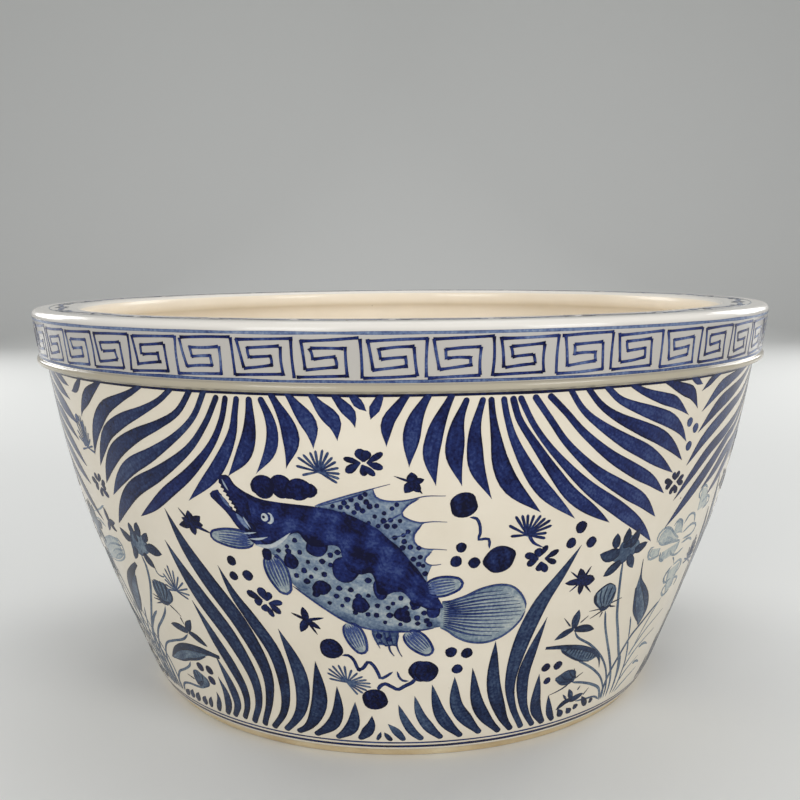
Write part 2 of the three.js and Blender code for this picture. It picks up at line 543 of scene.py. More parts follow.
WALL_PLACES, BAND_PLACES = 260, 12
FACE_HEAD_DROP, FACE_FOOT_DROP, FACE_FOOT_INSET = 2.4, 24.4, 3.2
FLAT_FROM, FLAT_TO = 4.2, 21.2
wall_at = np.linspace(2.6, STEP_HEIGHT + 0.4, WALL_PLACES)
wall = face_to_paint(wall_at, outer_wall(wall_at), wall_at)
collar_at = np.linspace(RIM_HEIGHT - FACE_FOOT_DROP, RIM_HEIGHT - FACE_HEAD_DROP, BAND_PLACES)
collar_inset = np.interp(RIM_HEIGHT - collar_at, [0, FACE_FOOT_DROP], [0, FACE_FOOT_INSET])
collar_face = face_to_paint(collar_at, RIM_RADIUS - collar_inset, collar_at)
flat_at = np.linspace(FLAT_FROM, FLAT_TO, BAND_PLACES)
rim_flat = face_to_paint(flat_at, RIM_RADIUS - flat_at, np.full(BAND_PLACES, RIM_HEIGHT))


def degree_width(face, along):
    """Length of one degree round the bowl at a place along a face, in millimetres."""
    return np.interp(along, face["along"], face["radius"]) * np.pi / 180


def in_space(face, degrees, along, lift):
    """Points and outward directions, in metres, for places on a face raised by a lift."""
    r, z, out, upward = (np.interp(along, face["along"], face[k])
                      for k in ("radius", "height", "out", "up"))
    a = np.radians(degrees)
    towards = np.stack([out * np.sin(a), -out * np.cos(a), upward], -1)
    point = np.stack([r * np.sin(a), -r * np.cos(a), z], -1)
    return (point + towards * lift) / MM_IN_METRE, towards


print("one degree is", degree_width(wall, 110.0).round(2), "mm wide at the belly")

# %% [markdown]
# ## The brush
# Every mark is a grid of points: rows along the stroke, columns across it. Three marks make
# the whole drawing. A stroke follows a curve through a few points with a width that swells
# and tapers as the painter presses. A wash fills the space between two drawn edges. A spot is
# a short round stroke. Each grid also carries its ink: how strong the cobalt is, how near the
# mark's edge a point lies, how grey the blue is, and a number of its own for its grain.

# %% Curves
HAND_SEED = 11
MM_TO_A_DEGREE = 3.2
SPAN_STEPS = 10
hand = np.random.default_rng(HAND_SEED)


def curve_through(points):
    """Curve through given points. On each span it is the cubic whose slopes come
    from the points on both sides (Catmull-Rom). Two points give a straight line."""
    p = np.asarray(points, float)
    if len(p) == 2:
        return p
    q = np.vstack([2 * p[0] - p[1], p, 2 * p[-1] - p[-2]])
    t = np.arange(SPAN_STEPS)[:, None, None] / SPAN_STEPS
    a, b, c, d = q[:-3], q[1:-2], q[2:-1], q[3:]
    cubic = (2 * b + (c - a) * t + (2 * a - 5 * b + 4 * c - d) * t ** 2
             + (3 * b - a - 3 * c + d) * t ** 3) / 2
    return np.vstack([cubic.transpose(1, 0, 2).reshape(-1, 2), p[-1:]])


def length_along(curve):
    """Length run from the start to each point of a curve, in millimetres."""
    step = np.diff(curve, axis=0) * [MM_TO_A_DEGREE, 1]
    return np.concatenate([[0], np.hypot(*step.T).cumsum()])


def walk(curve, shares):
    """Points of a curve at given shares of its length."""
    run = length_along(curve)
    at = np.asarray(shares) * run[-1]
    return np.stack([np.interp(at, run, curve[:, 0]), np.interp(at, run, curve[:, 1])], 1)


# %% Pressures along a stroke
def leaf(s, root=0.35, belly=0.62, full=0.6, blunt=0.0):
    """Width of a leaf: a thin root, rounded over its first `blunt` share, that swells to the
    belly and then runs to a tip. The nearer `full` is to 1, the fuller is the second half."""
    before = np.clip(s / belly, 0, 1) ** (1 + 2.7 * max(belly - 0.58, 0))
    after = np.clip((s - belly) / (1 - belly), 0, 1)
    taper = full * (1 - after ** 2.2) + (1 - full) * (1 + np.cos(np.pi * after)) / 2
    rounding = np.sqrt(1 - np.clip(1 - s / max(blunt, 1e-6), 0, 1) ** 2)
    return (root + (1 - root) * np.sin(before * np.pi / 2) ** 2) * taper * rounding


def almond(s):
    """Width of a petal that is broad where it starts and ends in a blunt point."""
    return np.sin(np.pi * (0.13 + 0.87 * s)) ** 0.75


def drawn_line(s):
    """Width of a plain line: full, with round ends."""
    return np.sqrt(np.clip(1 - (2 * s - 1) ** 12, 0, 1))


def tapering(s):
    """Width of a line that starts round and is lifted off the surface to a point."""
    return (1 - 0.8 * s ** 1.5) * np.sqrt(np.clip(1 - (1 - np.clip(s * 9, 0, 1)) ** 2, 0, 1))


def petal(s):
    """Width of a petal: narrow where it starts, full at 0.64, round at the end."""
    start = 0.22 + 0.78 * np.sin(np.clip(s / 0.64, 0, 1) * np.pi / 2) ** 1.4
    end = np.sqrt(np.clip(1 - np.clip((s - 0.64) / 0.36, 0, 1) ** 2, 0, 1))
    return start * end


def pointed(s):
    """Width of a petal or leaf that is pointed at both ends."""
    return np.sin(np.pi * s ** 0.9) ** 0.85


def club(s):
    """Width of a ray that is thin where it starts and blunt where it ends."""
    return (0.45 + 0.55 * s) * np.sqrt(np.clip(1 - np.clip((s - 0.86) / 0.14, 0, 1) ** 2, 0, 1))


def rounded(s):
    """Width of a round spot: a circle's chord."""
    return np.sqrt(np.clip(1 - (2 * s - 1) ** 2, 0, 1))


# %% Marks and their ink
WHOLE_TURN = 6.3
PATCH_WAVES, PATCH_LENGTHS, PATCH_HEIGHT = 5, (7, 20), 2.2


def mark(grid, strength, grey, lift, closed=False):
    """A grid of points with its ink. Strength is one number, several numbers that follow each
    other along the mark, or one for each point of the grid."""
    rows, columns = grid.shape[:2]
    ink = np.atleast_1d(strength)
    if ink.ndim == 1:
        ink = np.interp(np.linspace(0, 1, rows), np.linspace(0, 1, len(ink)), ink)[:, None]
    edge = abs(np.linspace(-1, 1, columns))[None]
    ink = np.stack(np.broadcast_arrays(ink, edge, grey, hand.random()), -1)
    return {"grid": grid, "ink": ink, "lift": lift, "closed": closed}


def patches(grid, amount):
    """Soft light and dark patches over a grid, as of pigment that settled: five waves of 7 to
    20 mm that cross at random, divided by about the height that they reach together."""
    x, y = grid[..., 0] * MM_TO_A_DEGREE, grid[..., 1]
    field = 0
    for _ in range(PATCH_WAVES):
        turn, start = hand.uniform(0, WHOLE_TURN), hand.uniform(0, WHOLE_TURN)
        long = hand.uniform(*PATCH_LENGTHS)
        field = field + np.sin(WHOLE_TURN * (x * np.cos(turn) + y * np.sin(turn)) / long + start)
    return amount * field / PATCH_HEIGHT


# %% The three marks
THINNEST = 0.07
LARGE_SPOT = 3


def stroke(points, width, shape, strength=0.9, grey=0.0, lift=0.2, face=wall, columns=3,
           step=4.0, even=True, sway=0.05):
    """Mark along a curve. Half the width, shaped by the pressure along the stroke and by a
    slight sway of the hand, is laid off at right angles to the curve on both sides. Rows
    are a step apart, or closer at the ends where they aren't even."""
    curve = curve_through(points)
    rows = max(7, int(length_along(curve)[-1] / step) + 2)
    s = np.linspace(0, 1, rows)
    if not even:
        s = (1 - np.cos(np.pi * s)) / 2
    spine = walk(curve, s)
    scale = np.stack([degree_width(face, spine[:, 1]), np.ones(rows)], 1)
    forward = np.gradient(spine, axis=0) * scale
    forward /= np.linalg.norm(forward, axis=1, keepdims=True)
    aside = np.stack([-forward[:, 1], forward[:, 0]], 1) / scale
    wave = 1 + sway * np.sin(s * hand.uniform(5, 9) + hand.uniform(0, 6))
    half = np.maximum(width / 2 * shape(s) * wave, THINNEST)
    across = np.linspace(-1, 1, columns)[None, :, None]
    return mark(spine[:, None] + across * (half[:, None] * aside)[:, None], strength, grey, lift)


def wash(first, second, strength, grey=0.0, lift=0.1, columns=7, mottle=0.0):
    """Mark that fills the space between two edges with as many points: a straight rung
    goes from each point of one to the same point of the other."""
    across = np.linspace(0, 1, columns)[None, :, None]
    grid = first[:, None] * (1 - across) + second[:, None] * across
    if mottle:
        strength = strength + patches(grid, mottle)
    return mark(grid, strength, grey, lift)


def matched(points):
    """Points of a smooth curve, five for every span, so that two edges drawn with as many
    points are tied point to point."""
    return curve_through(points)[::SPAN_STEPS // 5]


def spot(degrees, height, radius, tall=None, tilt=0.0, strength=0.95, grey=0.0, lift=0.2,
         uneven=0.07):
    """Round mark: a short stroke as wide as a circle's chord, laid along its long axis."""
    tall = tall or radius
    lean = np.radians(90 + tilt)
    reach = np.array([np.cos(lean) / degree_width(wall, height), np.sin(lean)]) * tall
    ends = np.array([[degrees, height] - reach, [degrees, height] + reach])
    step, columns = (1.1, 5) if radius > LARGE_SPOT else (9, 3)
    return stroke(ends, radius * 2, rounded, strength, grey, lift, columns=columns,
                  step=step, even=False, sway=uneven)


# %% [markdown]
# ## Laying the marks on the bowl
# A mark becomes a very thin closed slab: its top lies a tenth of a millimetre or so above the
# glaze, its underside is sunk in the wall, and its rim is closed. Only the fish, with its
# layers of paint, keeps the full lifts: elsewhere they are halved. Marks that cross have
# slightly different lifts, as strokes do that were laid one after another. Each corner is
# given the wall's own outward direction to shade by, so the paint has no relief of its own and
# shares the reflections of the glaze round it.

# %% Make a slab of a mark
SUNK = 0.2
LIFT_PLAY = 0.012


def slab_faces(rows, columns, closed):
    """Quads of a slab whose top corners come first, row by row, and then its underside."""
    top = np.arange(rows * columns).reshape(rows, columns)
    if closed:
        top = np.vstack([top, top[:1]])
        rims = [top[:, 0], top[::-1, -1]]
    else:
        rims = [np.concatenate([top[:-1, 0], top[-1, :-1], top[:0:-1, -1], top[0, ::-1]])]
    upper = np.stack([top[:-1, :-1], top[1:, :-1], top[1:, 1:], top[:-1, 1:]], -1)
    upper = upper.reshape(-1, 4)
    under = upper[:, ::-1] + rows * columns
    sides = [np.stack([r[:-1] + rows * columns, r[1:] + rows * columns, r[1:], r[:-1]], 1)
             for r in rims]
    return np.vstack([upper, under, *sides])


def slab(one, face, height):
    """Corners, shading directions, UV, ink and faces of one mark laid on a face, with its
    lift multiplied by a height."""
    grid, ink = one["grid"], one["ink"]
    rows, columns = grid.shape[:2]
    along, across = np.gradient(grid, axis=0), np.gradient(grid, axis=1)
    if (along[..., 0] * across[..., 1] - along[..., 1] * across[..., 0]).sum() < 0:
        grid, ink = grid[:, ::-1], ink[:, ::-1]
    lift = height * (one["lift"] + hand.uniform(-LIFT_PLAY, LIFT_PLAY))
    top, towards = in_space(face, grid[..., 0], grid[..., 1], lift)
    under, _ = in_space(face, grid[..., 0], grid[..., 1], -SUNK)
    run = np.linalg.norm(np.diff(top, axis=0), axis=2).mean(1)
    run = np.concatenate([[0], run.cumsum()])[:, None] + np.zeros((1, columns))
    side = np.linalg.norm(np.diff(top, axis=1), axis=2)
    side = np.concatenate([np.zeros((rows, 1)), side.cumsum(1)], 1)
    side = side - side[:, -1:] / 2
    uv = np.stack([run, side], -1).reshape(-1, 2)
    twice = [np.concatenate([part.reshape(-1, part.shape[-1])] * 2)
             for part in (towards, uv, ink)]
    corners = np.concatenate([top.reshape(-1, 3), under.reshape(-1, 3)])
    return [corners, *twice, slab_faces(rows, columns, one["closed"])]


# %% Turn marks into one mesh
def lay(name, marks, face, finish, height=0.5):
    """Joins the slabs of many marks into one piece that rides on the bowl."""
    slabs = [slab(one, face, height) for one in marks]
    first = np.cumsum([0] + [len(s[0]) for s in slabs[:-1]])
    place, towards, uv, ink = (np.concatenate([s[i] for s in slabs]) for i in range(4))
    faces = np.concatenate([s[4] + start for s, start in zip(slabs, first)])
    mesh = bpy.data.meshes.new(name)
    mesh.from_pydata(place.tolist(), [], faces.tolist())
    corner_of = faces.ravel()
    layer = mesh.uv_layers.new(name="along_stroke")
    layer.data.foreach_set("uv", uv[corner_of].ravel())
    attribute = mesh.attributes.new("ink", "FLOAT_COLOR", "POINT")
    attribute.data.foreach_set("color", ink.ravel())
    mesh.polygons.foreach_set("use_smooth", np.ones(len(faces), bool))
    mesh.normals_split_custom_set_from_vertices(towards.tolist())
    mesh.materials.append(finish)
    piece = bpy.data.objects.new(name, mesh)
    bpy.context.scene.collection.objects.link(piece)
    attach(piece, "root")
    print(name, len(marks), "marks,", len(faces) * 2, "triangles")


# %% [markdown]
# ## Cobalt under the glaze
# Cobalt is a wash, so its colour depends on how much pigment the brush left. A weak wash is a
# grey blue, a full brush is navy, and where it heaps it goes nearly black. The finish reads
# the ink that each mark carries, adds streaks that run along the stroke, a grain of small
# heaps, and a darker line where the wash dried at its edge, and turns the sum into a colour.
# It mirrors the studio a little less than the bare glaze does, so that the navy stays deep
# over a pale floor.

# %% Cobalt finish
PURE_BLUE = [(0.05, (188, 192, 192)), (0.2, (160, 171, 184)), (0.4, (108, 125, 160)),
             (0.6, (58, 74, 122)), (0.78, (24, 38, 94)), (0.92, (9, 18, 66)),
             (1.0, (2, 4, 40))]
GREY_BLUE = [(0.05, (190, 192, 180)), (0.2, (158, 166, 162)), (0.4, (112, 128, 132)),
             (0.6, (66, 84, 96)), (0.78, (33, 48, 63)), (0.92, (14, 24, 34)),
             (1.0, (4, 8, 14))]
COBALT_GLOSS = 0.18


def swing(tree, noise, amount):
    """Socket that swings about zero with a noise: the noise less a half, times an amount."""
    return sums(tree, "MULTIPLY", sums(tree, "SUBTRACT", noise.outputs[0], 0.5), amount)


def cobalt_finish():
    """Colour from ink strength, plus streaks (noise stretched along the UV), heaps (fine
    noise) and a pooled edge, through one ramp for clean blue and one for grey blue."""
    material, tree, shader = finish_named("cobalt_blue", 0.17)
    shader.inputs["Specular IOR Level"].default_value = COBALT_GLOSS
    place = glaze_relief(tree, shader)
    ink = add(tree, "Attribute", dict(attribute_name="ink"))
    part = add(tree, "SeparateColor", Color=ink.outputs["Color"])
    seed = ink.outputs["Alpha"]
    uv = add(tree, "UVMap", dict(uv_map="along_stroke"))
    drawn = add(tree, "Mapping", Vector=uv.outputs[0], Scale=(55.0, 620.0, 1.0))
    own = add(tree, "CombineXYZ", X=sums(tree, "MULTIPLY", seed, 97.0), Z=seed)
    tree.links.new(own.outputs[0], drawn.inputs["Location"])
    streak = add(tree, "TexNoise", Vector=drawn.outputs[0], Scale=1.0, Detail=3.0,
                 Roughness=0.6)
    heap = add(tree, "TexNoise", Vector=place, Scale=760.0, Detail=2.0)
    cloud = add(tree, "TexNoise", Vector=place, Scale=95.0, Detail=2.0)
    pool = add(tree, "MapRange", dict(interpolation_type="SMOOTHSTEP"),
               Value=part.outputs[1], From_Min=0.62, From_Max=1.0, To_Min=-0.03, To_Max=0.12)
    drift = sums(tree, "ADD", swing(tree, streak, 0.3), swing(tree, heap, 0.44))
    drift = sums(tree, "ADD", drift, swing(tree, cloud, 0.3))
    total = sums(tree, "ADD", sums(tree, "ADD", part.outputs[0], drift), pool.outputs[0])
    colour = blend_colours(tree, part.outputs[2], ramp(tree, total, PURE_BLUE),
                           ramp(tree, total, GREY_BLUE))
    tree.links.new(colour, shader.inputs["Base Color"])
    return material


cobalt = cobalt_finish()

# %% [markdown]
# ## Lines round the bowl
# The painter draws the lines with the bowl turning on the wheel, so they close on themselves,
# and only their width wavers. A closed mark joins its last row to its first.

# %% Lines round the bowl
LINE_LIFT, LINE_GREY = 0.16, 0.15


def ring(along, width, strength, waver=0.12, drift=0.0):
    """Closed line: its middle stays at one place along the face, give or take a slow drift,
    and its half width is a constant plus a sum of two waves round the bowl."""
    a = np.arange(360) * 1.0
    wave = sum(np.sin(np.radians(a * n) + hand.uniform(0, 6)) / 2
               for n in hand.integers(7, 40, 3))
    slow = np.sin(np.radians(a * 3) + hand.uniform(0, 6)) * drift
    half = width / 2 * (1 + waver * wave)
    middle = np.stack([a, along + slow], 1)
    across = np.linspace(-1, 1, 3)[None, :, None]
    grid = middle[:, None] + across * np.stack([0 * a, half], 1)[:, None]
    return mark(grid, strength, LINE_GREY, LINE_LIFT, closed=True)


foot_lines = [ring(7.3, 1.7, 0.9, drift=0.1), ring(9.8, 0.9, 0.75)]
lay("foot_lines", foot_lines, wall, cobalt)
lay("step_line", [ring(STEP_HEIGHT - 0.75, 1.4, 1.0)], wall, cobalt)
upper_line = ring(RIM_HEIGHT - 4.4, 1.3, 0.48)
lower_line = ring(RIM_HEIGHT - 24.0, 1.7, 0.58, waver=0.2)
lay("collar_lines", [upper_line, lower_line], collar_face, cobalt)

# %% [markdown]
# ## Key fret on the collar
# The fret is one hooked meander repeated 48 times. It is painted stroke by stroke, and each
# stroke starts and ends with a heavier touch, so the corners are darker than the sides. A
# stroke is given by its two ends, as shares of a unit's width and of the band's height. The
# unit's long bar stands at one whole width.

# %% Paint the fret
FRET_UNITS = 48
FRET_WIDE = 360 / FRET_UNITS
FRET_START = -49.56
FRET_LOW, FRET_TALL = RIM_HEIGHT - 22.4, 15.9
FRET_BRUSH = 1.3
UNIT_SHAKE, END_SHAKE, BOW_SHAKE = 0.012, 0.011, 0.008
FRET_STROKES = [
    [(0.1, 0.95), (1.0, 1.0)], [(1.0, 1.0), (1.0, 0.0)], [(1.02, 0.02), (1.82, 0.06)],
    [(1.81, 0.04), (1.79, 0.78)], [(1.79, 0.78), (1.27, 0.73)], [(1.27, 0.75), (1.3, 0.47)],
    [(1.3, 0.48), (1.65, 0.53)], [(1.64, 0.54), (1.66, 0.27)], [(1.67, 0.29), (1.18, 0.2)],
    [(1.18, 0.2), (1.11, 0.97)],
]


def fret_touch(s):
    """Width of a fret stroke: heavier where the brush lands and where it stops."""
    return 0.92 + 0.3 * np.exp(-(s / 0.09) ** 2) + 0.22 * np.exp(-((1 - s) / 0.08) ** 2)


def fret_unit(number):
    """The strokes of one unit, each shaken a little, as a hand repeats itself."""
    strokes = []
    shake = hand.normal(0, UNIT_SHAKE, 2)
    tone = hand.uniform(0.72, 0.94)
    for ends in FRET_STROKES:
        ends = np.array(ends) + hand.normal(0, END_SHAKE, (2, 2)) + shake
        bow = hand.normal(0, BOW_SHAKE, 2)
        points = np.array([ends[0], ends.mean(0) + bow, ends[1]])
        places = points * [FRET_WIDE, FRET_TALL]
        places += [FRET_START + (number - 1) * FRET_WIDE, FRET_LOW]
        ink = (tone + 0.08, tone - 0.18, tone - hand.uniform(0.15, 0.28), tone + 0.03)
        strokes.append(stroke(places, FRET_BRUSH, fret_touch, ink, face=collar_face, step=2.2,
                              lift=0.2 + 0.02 * len(strokes)))
    return strokes


lay("key_fret", [m for i in range(FRET_UNITS) for m in fret_unit(i)], collar_face, cobalt)

# %% [markdown]
# ## Band on the flat of the rim
# The top of the rim has a running scroll inside a thin line, seen from the front only as
# dashes of blue at both ends. A wavy stem goes round in broad strokes, and in each bend curls
# a tendril with small leaves. The place along this face is the distance in from the rim.

# %% Paint the rim's scroll
SCROLL_BENDS = 30
SCROLL_MIDDLE, SCROLL_REACH = 14.2, 3.6
SCROLL_LEAVES = [(-13, -0.6, 2.6), (-8.6, -4.4, 3.2), (8.4, -4.2, 3.2), (13.4, -1.4, 2.4)]
CURL_TURN = 1.6 * np.pi
CURL_WIDE, CURL_TALL, CURL_ASIDE, CURL_WINDS_IN = 5.4, 3.4, 0.3, 0.7
MM_TO_A_RIM_DEGREE = 3.35
bend_degrees = 360 / SCROLL_BENDS


def rim_stroke(points, width, shape, strength):
    """Stroke on the rim's flat."""
    return stroke(points, width, shape, strength, face=rim_flat, step=2.2)


def scroll_bend(number):
    """One bend of the scroll: a curl that winds in, and four leaves off the stem."""
    side = 1 if number % 2 else -1
    at = number * bend_degrees
    a = np.linspace(0, CURL_TURN, 11)
    wind = 1 - a / CURL_TURN * CURL_WINDS_IN
    curl = np.stack([at + CURL_WIDE * wind * np.sin(a) / MM_TO_A_RIM_DEGREE,
                     SCROLL_MIDDLE - side * (CURL_ASIDE + CURL_TALL * wind * np.cos(a))], 1)
    leaves = []
    for x, y, wide in SCROLL_LEAVES:
        root = [at + x * 0.55 / MM_TO_A_RIM_DEGREE, SCROLL_MIDDLE + side * y * 0.3]
        tip = [at + x / MM_TO_A_RIM_DEGREE, SCROLL_MIDDLE + side * y]
        leaves.append(rim_stroke([root, tip], wide, petal, hand.uniform(0.4, 0.6)))
    return [rim_stroke(curl, 1.9, tapering, 0.54), *leaves]


def stem_stroke(number):
    """The stem from one bend to the next: one broad stroke, with bare glaze before the next."""
    degrees = (number + np.array([0.06, 0.28, 0.52, 0.8])) * bend_degrees
    wave = np.cos(np.radians(degrees * SCROLL_BENDS / 2))
    place = SCROLL_MIDDLE + SCROLL_REACH * 0.75 * wave
    return rim_stroke(np.stack([degrees, place], 1), 2.2, almond, hand.uniform(0.44, 0.58))


scroll = [m for i in range(SCROLL_BENDS) for m in [stem_stroke(i), *scroll_bend(i)]]
scroll.append(ring(9.3, 0.5, 0.2, waver=0.8))
lay("rim_scroll", scroll, rim_flat, cobalt)

# %% [markdown]
# ## Four panels round the wall
# The wall is divided into four fish panels, with sprays of water plants between them. The
# photograph shows one whole panel, from 52 degrees on the left to 44 on the right. The other
# three have the same drawing, drawn a little narrower to share what is left of the round,
# and shaken slightly, as no hand repeats a drawing exactly.

# %% Carry a drawing to another panel
FIRST_EDGE, LAST_EDGE = -52.0, 44.0
PANELS = 4
SHARE_LEFT = (360 - (LAST_EDGE - FIRST_EDGE)) / (PANELS - 1) / (LAST_EDGE - FIRST_EDGE)
SHAKE_DEGREES, SHAKE_MM = 0.16, 0.5


def on_panel(points, panel, shaken=1.0):
    """Points of the first panel carried to another: degrees are measured from the left edge,
    narrowed, and laid off from that panel's own left edge."""
    p = np.asarray(points, float).reshape(-1, 2)
    if panel == 0:
        return p
    wide = (LAST_EDGE - FIRST_EDGE) * SHARE_LEFT
    start = LAST_EDGE + (panel - 1) * wide
    moved = np.stack([start + (p[:, 0] - FIRST_EDGE) * SHARE_LEFT, p[:, 1]], 1)
    return moved + hand.normal(0, 1, 2) * [SHAKE_DEGREES, SHAKE_MM] * shaken


def exact(panel):
    """Carrier of points to a panel without a shake, so that what touches still touches."""
    return lambda points: on_panel(points, panel, 0)


# %% [markdown]
# ## Fronds from the collar
# Long leaves of waterweed hang from the collar in two arching bundles that part over the
# fish. Each leaf is one press of a full brush: it lands narrow, spreads to a belly, and is
# drawn off to a point. A row is the root, two points on the way, the tip, and the width of
# the belly in millimetres.

# %% Rows of the upper fronds
UPPER_LEAVES = [
    (-49, 183, -50, 179.5, -51.7, 176, -53.2, 174.7, 4),
    (-43.2, 183.2, -44.8, 179.9, -47.7, 174.6, -50.3, 167.4, -51.3, 163, 6.5),
    (-34.5, 183.2, -36.8, 179.2, -39.8, 175.2, -43.4, 170, -46.4, 161.5, -48.2, 153.5,
     -49.6, 145, 7.8),
    (-29.2, 183.2, -31.8, 176.8, -35.3, 171.3, -39.7, 165.6, -43.9, 158.3, -46.4, 149.6,
     -48.6, 140, 7.6),
    (-26.3, 183.2, -28.9, 172.6, -32.5, 166, -37.5, 159.2, -42.3, 150.9, -45.5, 142.1,
     -48.1, 131.5, 8.6),
    (-24.3, 183.2, -26.5, 171, -29.8, 161.5, -34.7, 151.9, -39.9, 143.8, -43.5, 135.8,
     -46.8, 126.3, 7.6),
    (-22.6, 180.9, -24.9, 168, -28.3, 155.5, -34, 143.3, -40.1, 133.3, -44.2, 123.1,
     -47.9, 111, 8.6),
    (-21.4, 180.9, -22.5, 169.5, -24.7, 157.6, -28.7, 144.8, -33.3, 134.2, -36.8, 126.1,
     -40.5, 119, 6.3),
    (-19.9, 180.9, -20.4, 174, -21.1, 164.7, -22.9, 153.7, -25.3, 144, -29.6, 131.8, 6.4),
    (-18.3, 180.9, -18.5, 170.5, -19, 162.3, -20.1, 154.6, -22.5, 145.4, 7.5),
    (-16.9, 180.9, -15.9, 172.1, -15.7, 164.3, -16.4, 156.6, -18.4, 147.6, 5.7),
    (-15.6, 183.2, -14.2, 173.9, -13.5, 167.4, -13.4, 160.6, -14.3, 150.6, 7.3),
    (-13.5, 183.2, -12.2, 176.6, -11.3, 172.2, -10.7, 167.4, -10.6, 159.6, 6.9),
    (-10.7, 183.2, -9.5, 177.4, -8.6, 174.1, -7.8, 170.1, -7.6, 163.2, 6.6),
    (-8, 183.2, -6.9, 178.5, -5.8, 174, -5.4, 168.8, 4.9),
    (-5.9, 183.2, -5.3, 180.4, -4.7, 178, -4, 175.7, 3.9),
    (-2.2, 183.2, -2.6, 179.9, -3.2, 175.7, -3.55, 172.3, 4.5),
    (0.9, 183.2, -0.4, 177.2, -1.6, 170.5, -1.75, 160.8, 5.6),
    (3.4, 183.2, 2, 174.6, 1.4, 168.3, 1.1, 160, 0.95, 152, 7.6),
    (6.1, 183.2, 4.6, 171.9, 3.9, 164, 3.6, 155.9, 4.25, 143.7, 7.6),
    (7.8, 180.9, 6.8, 171.3, 6.5, 163.2, 6.5, 155, 7.5, 143.2, 7.6),
    (9.7, 180.9, 8.9, 168.9, 8.9, 159.2, 9.4, 149.8, 11.4, 136.8, 6.8),
    (10.6, 180.9, 10.9, 173.2, 11.5, 163, 12.3, 152, 14.1, 141.3, 18.3, 129, 7.9),
    (12.1, 180.9, 12.7, 172.2, 13.8, 162, 15.9, 149.5, 18.6, 138.2, 23.6, 124.3, 6.3),
    (13.2, 180.9, 14.3, 170.7, 16.5, 160, 19.6, 146.5, 23.1, 134.1, 29.6, 119.8, 6.7),
    (14.1, 180.9, 16.4, 167.2, 19.8, 153.7, 25, 138.2, 30.9, 125.5, 35.8, 114.9,
     39.6, 104.8, 7.2),
    (15.9, 180.9, 18.3, 170.3, 21.2, 158.3, 25.9, 145.1, 31.2, 134.7, 35.3, 127.2,
     39, 117.6, 6.9),
    (17.8, 180.9, 20.4, 172.6, 23.3, 162.9, 27.7, 151.8, 32.5, 142.9, 36.2, 136.6,
     39.7, 128.8, 6.7),
    (20.5, 183.2, 22.7, 173.4, 25.6, 165.9, 29.8, 157.7, 33.6, 151.6, 37.5, 144.5,
     40.7, 138.3, 7.3),
    (22.9, 183.2, 25.3, 174.7, 28.2, 168.6, 32.4, 162.5, 36.5, 156.8, 39.6, 150.6,
     42.4, 143.5, 7.3),
    (25.6, 183.2, 27.9, 176.8, 30.5, 172.9, 34.2, 168.6, 37.8, 164.2, 40.4, 159,
     42.5, 152.3, 7.3),
    (29.5, 183.2, 31.3, 179.9, 33.2, 177.4, 35.8, 174.7, 38.4, 172, 41.9, 165, 5.6),
    (35.5, 183.2, 38.2, 179.5, 40.1, 177.3, 41.9, 174.9, 43.9, 167.4, 6.2),
    (41, 183.2, 42, 181.5, 43, 180, 44.1, 178.7, 3.2),
]

# %% Rows of the neighbours' fronds
RIGHT_NEIGHBOUR = [
    (49.2, 183, 47.2, 181, 45.5, 178, 44.2, 175.3, 3.6),
    (61, 183.2, 56, 180, 52.7, 178, 49.4, 174.8, 45.2, 165.3, 6),
    (65.5, 183.2, 59.3, 175.7, 55.1, 171.6, 50.8, 167.3, 47.9, 161.8, 45.2, 155.2, 7.2),
    (69, 183.2, 61.6, 169.4, 56.2, 164, 50.9, 157.3, 47.1, 150.1, 44, 140, 7.4),
    (71, 183.2, 63.1, 162.2, 56.9, 153, 50.6, 145, 46.5, 135.1, 42.7, 123.5, 6.6),
    (72.6, 183.2, 62.5, 154.5, 57.2, 146.6, 51.3, 133.9, 46.7, 122.6, 42.4, 110, 7),
    (74, 183.2, 66, 150, 58.6, 139.2, 55, 131.8, 51, 124.5, 6.8),
]
LEFT_NEIGHBOUR = [
    (-60.5, 183.2, -58.2, 181.2, -56, 178.8, -54, 177, 4),
    (-66.5, 183.2, -62.5, 180, -58.2, 174.5, -54.7, 170, 6.5),
    (-70, 183.2, -65, 174.5, -58.5, 165.5, -53.3, 158, 7.4),
    (-72.5, 183.2, -66.5, 167, -60.5, 159.3, -54.8, 149.5, 6.5),
    (-74.5, 183.2, -68, 161.5, -60.5, 149, -54.5, 136.5, 7.4),
    (-76, 183.2, -69, 152.5, -61.5, 138.5, -55, 127, 7.4),
    (-78, 183.2, -70.5, 142, -62.5, 126, -54.5, 108, 6.6),
]

# %% Paint the upper fronds
# width in mm where the brush lands, the place of the belly in a short leaf, and how full the
# second half is in a short and in a long one
HANGING = (2.7, 0.56, 0.45, 0.9)
RISING = (2.9, 0.43, 0.85, 0.85)
WIDEST_ROOT = 0.72
SHORT_LEAF, LONG_LEAF = 35, 95
BELLY_SHIFT = 0.17


def frond(row, panel, strength, grey, press=HANGING):
    """One leaf of a bundle. Every root is about as wide as the brush's tip and rounded, and
    the longer the leaf, the further out lies its belly."""
    landing, belly, full, full_long = press
    points = on_panel(row[:-1], panel)
    long = length_along(curve_through(points))[-1]
    root = min(landing / row[-1], WIDEST_ROOT)
    growth = np.clip((long - SHORT_LEAF) / (LONG_LEAF - SHORT_LEAF), 0, 1)
    belly = belly + BELLY_SHIFT * growth
    full = full + (full_long - full) * growth
    blunt = root * row[-1] / 2 / long
    tone = strength + hand.uniform(-0.05, 0.04)
    return stroke(points, row[-1], lambda s: leaf(s, root, belly, full, blunt),
                  (tone + 0.04, tone, tone - 0.05, tone), grey, columns=5,
                  step=1.7 if long < 50 else 2.6, even=False)


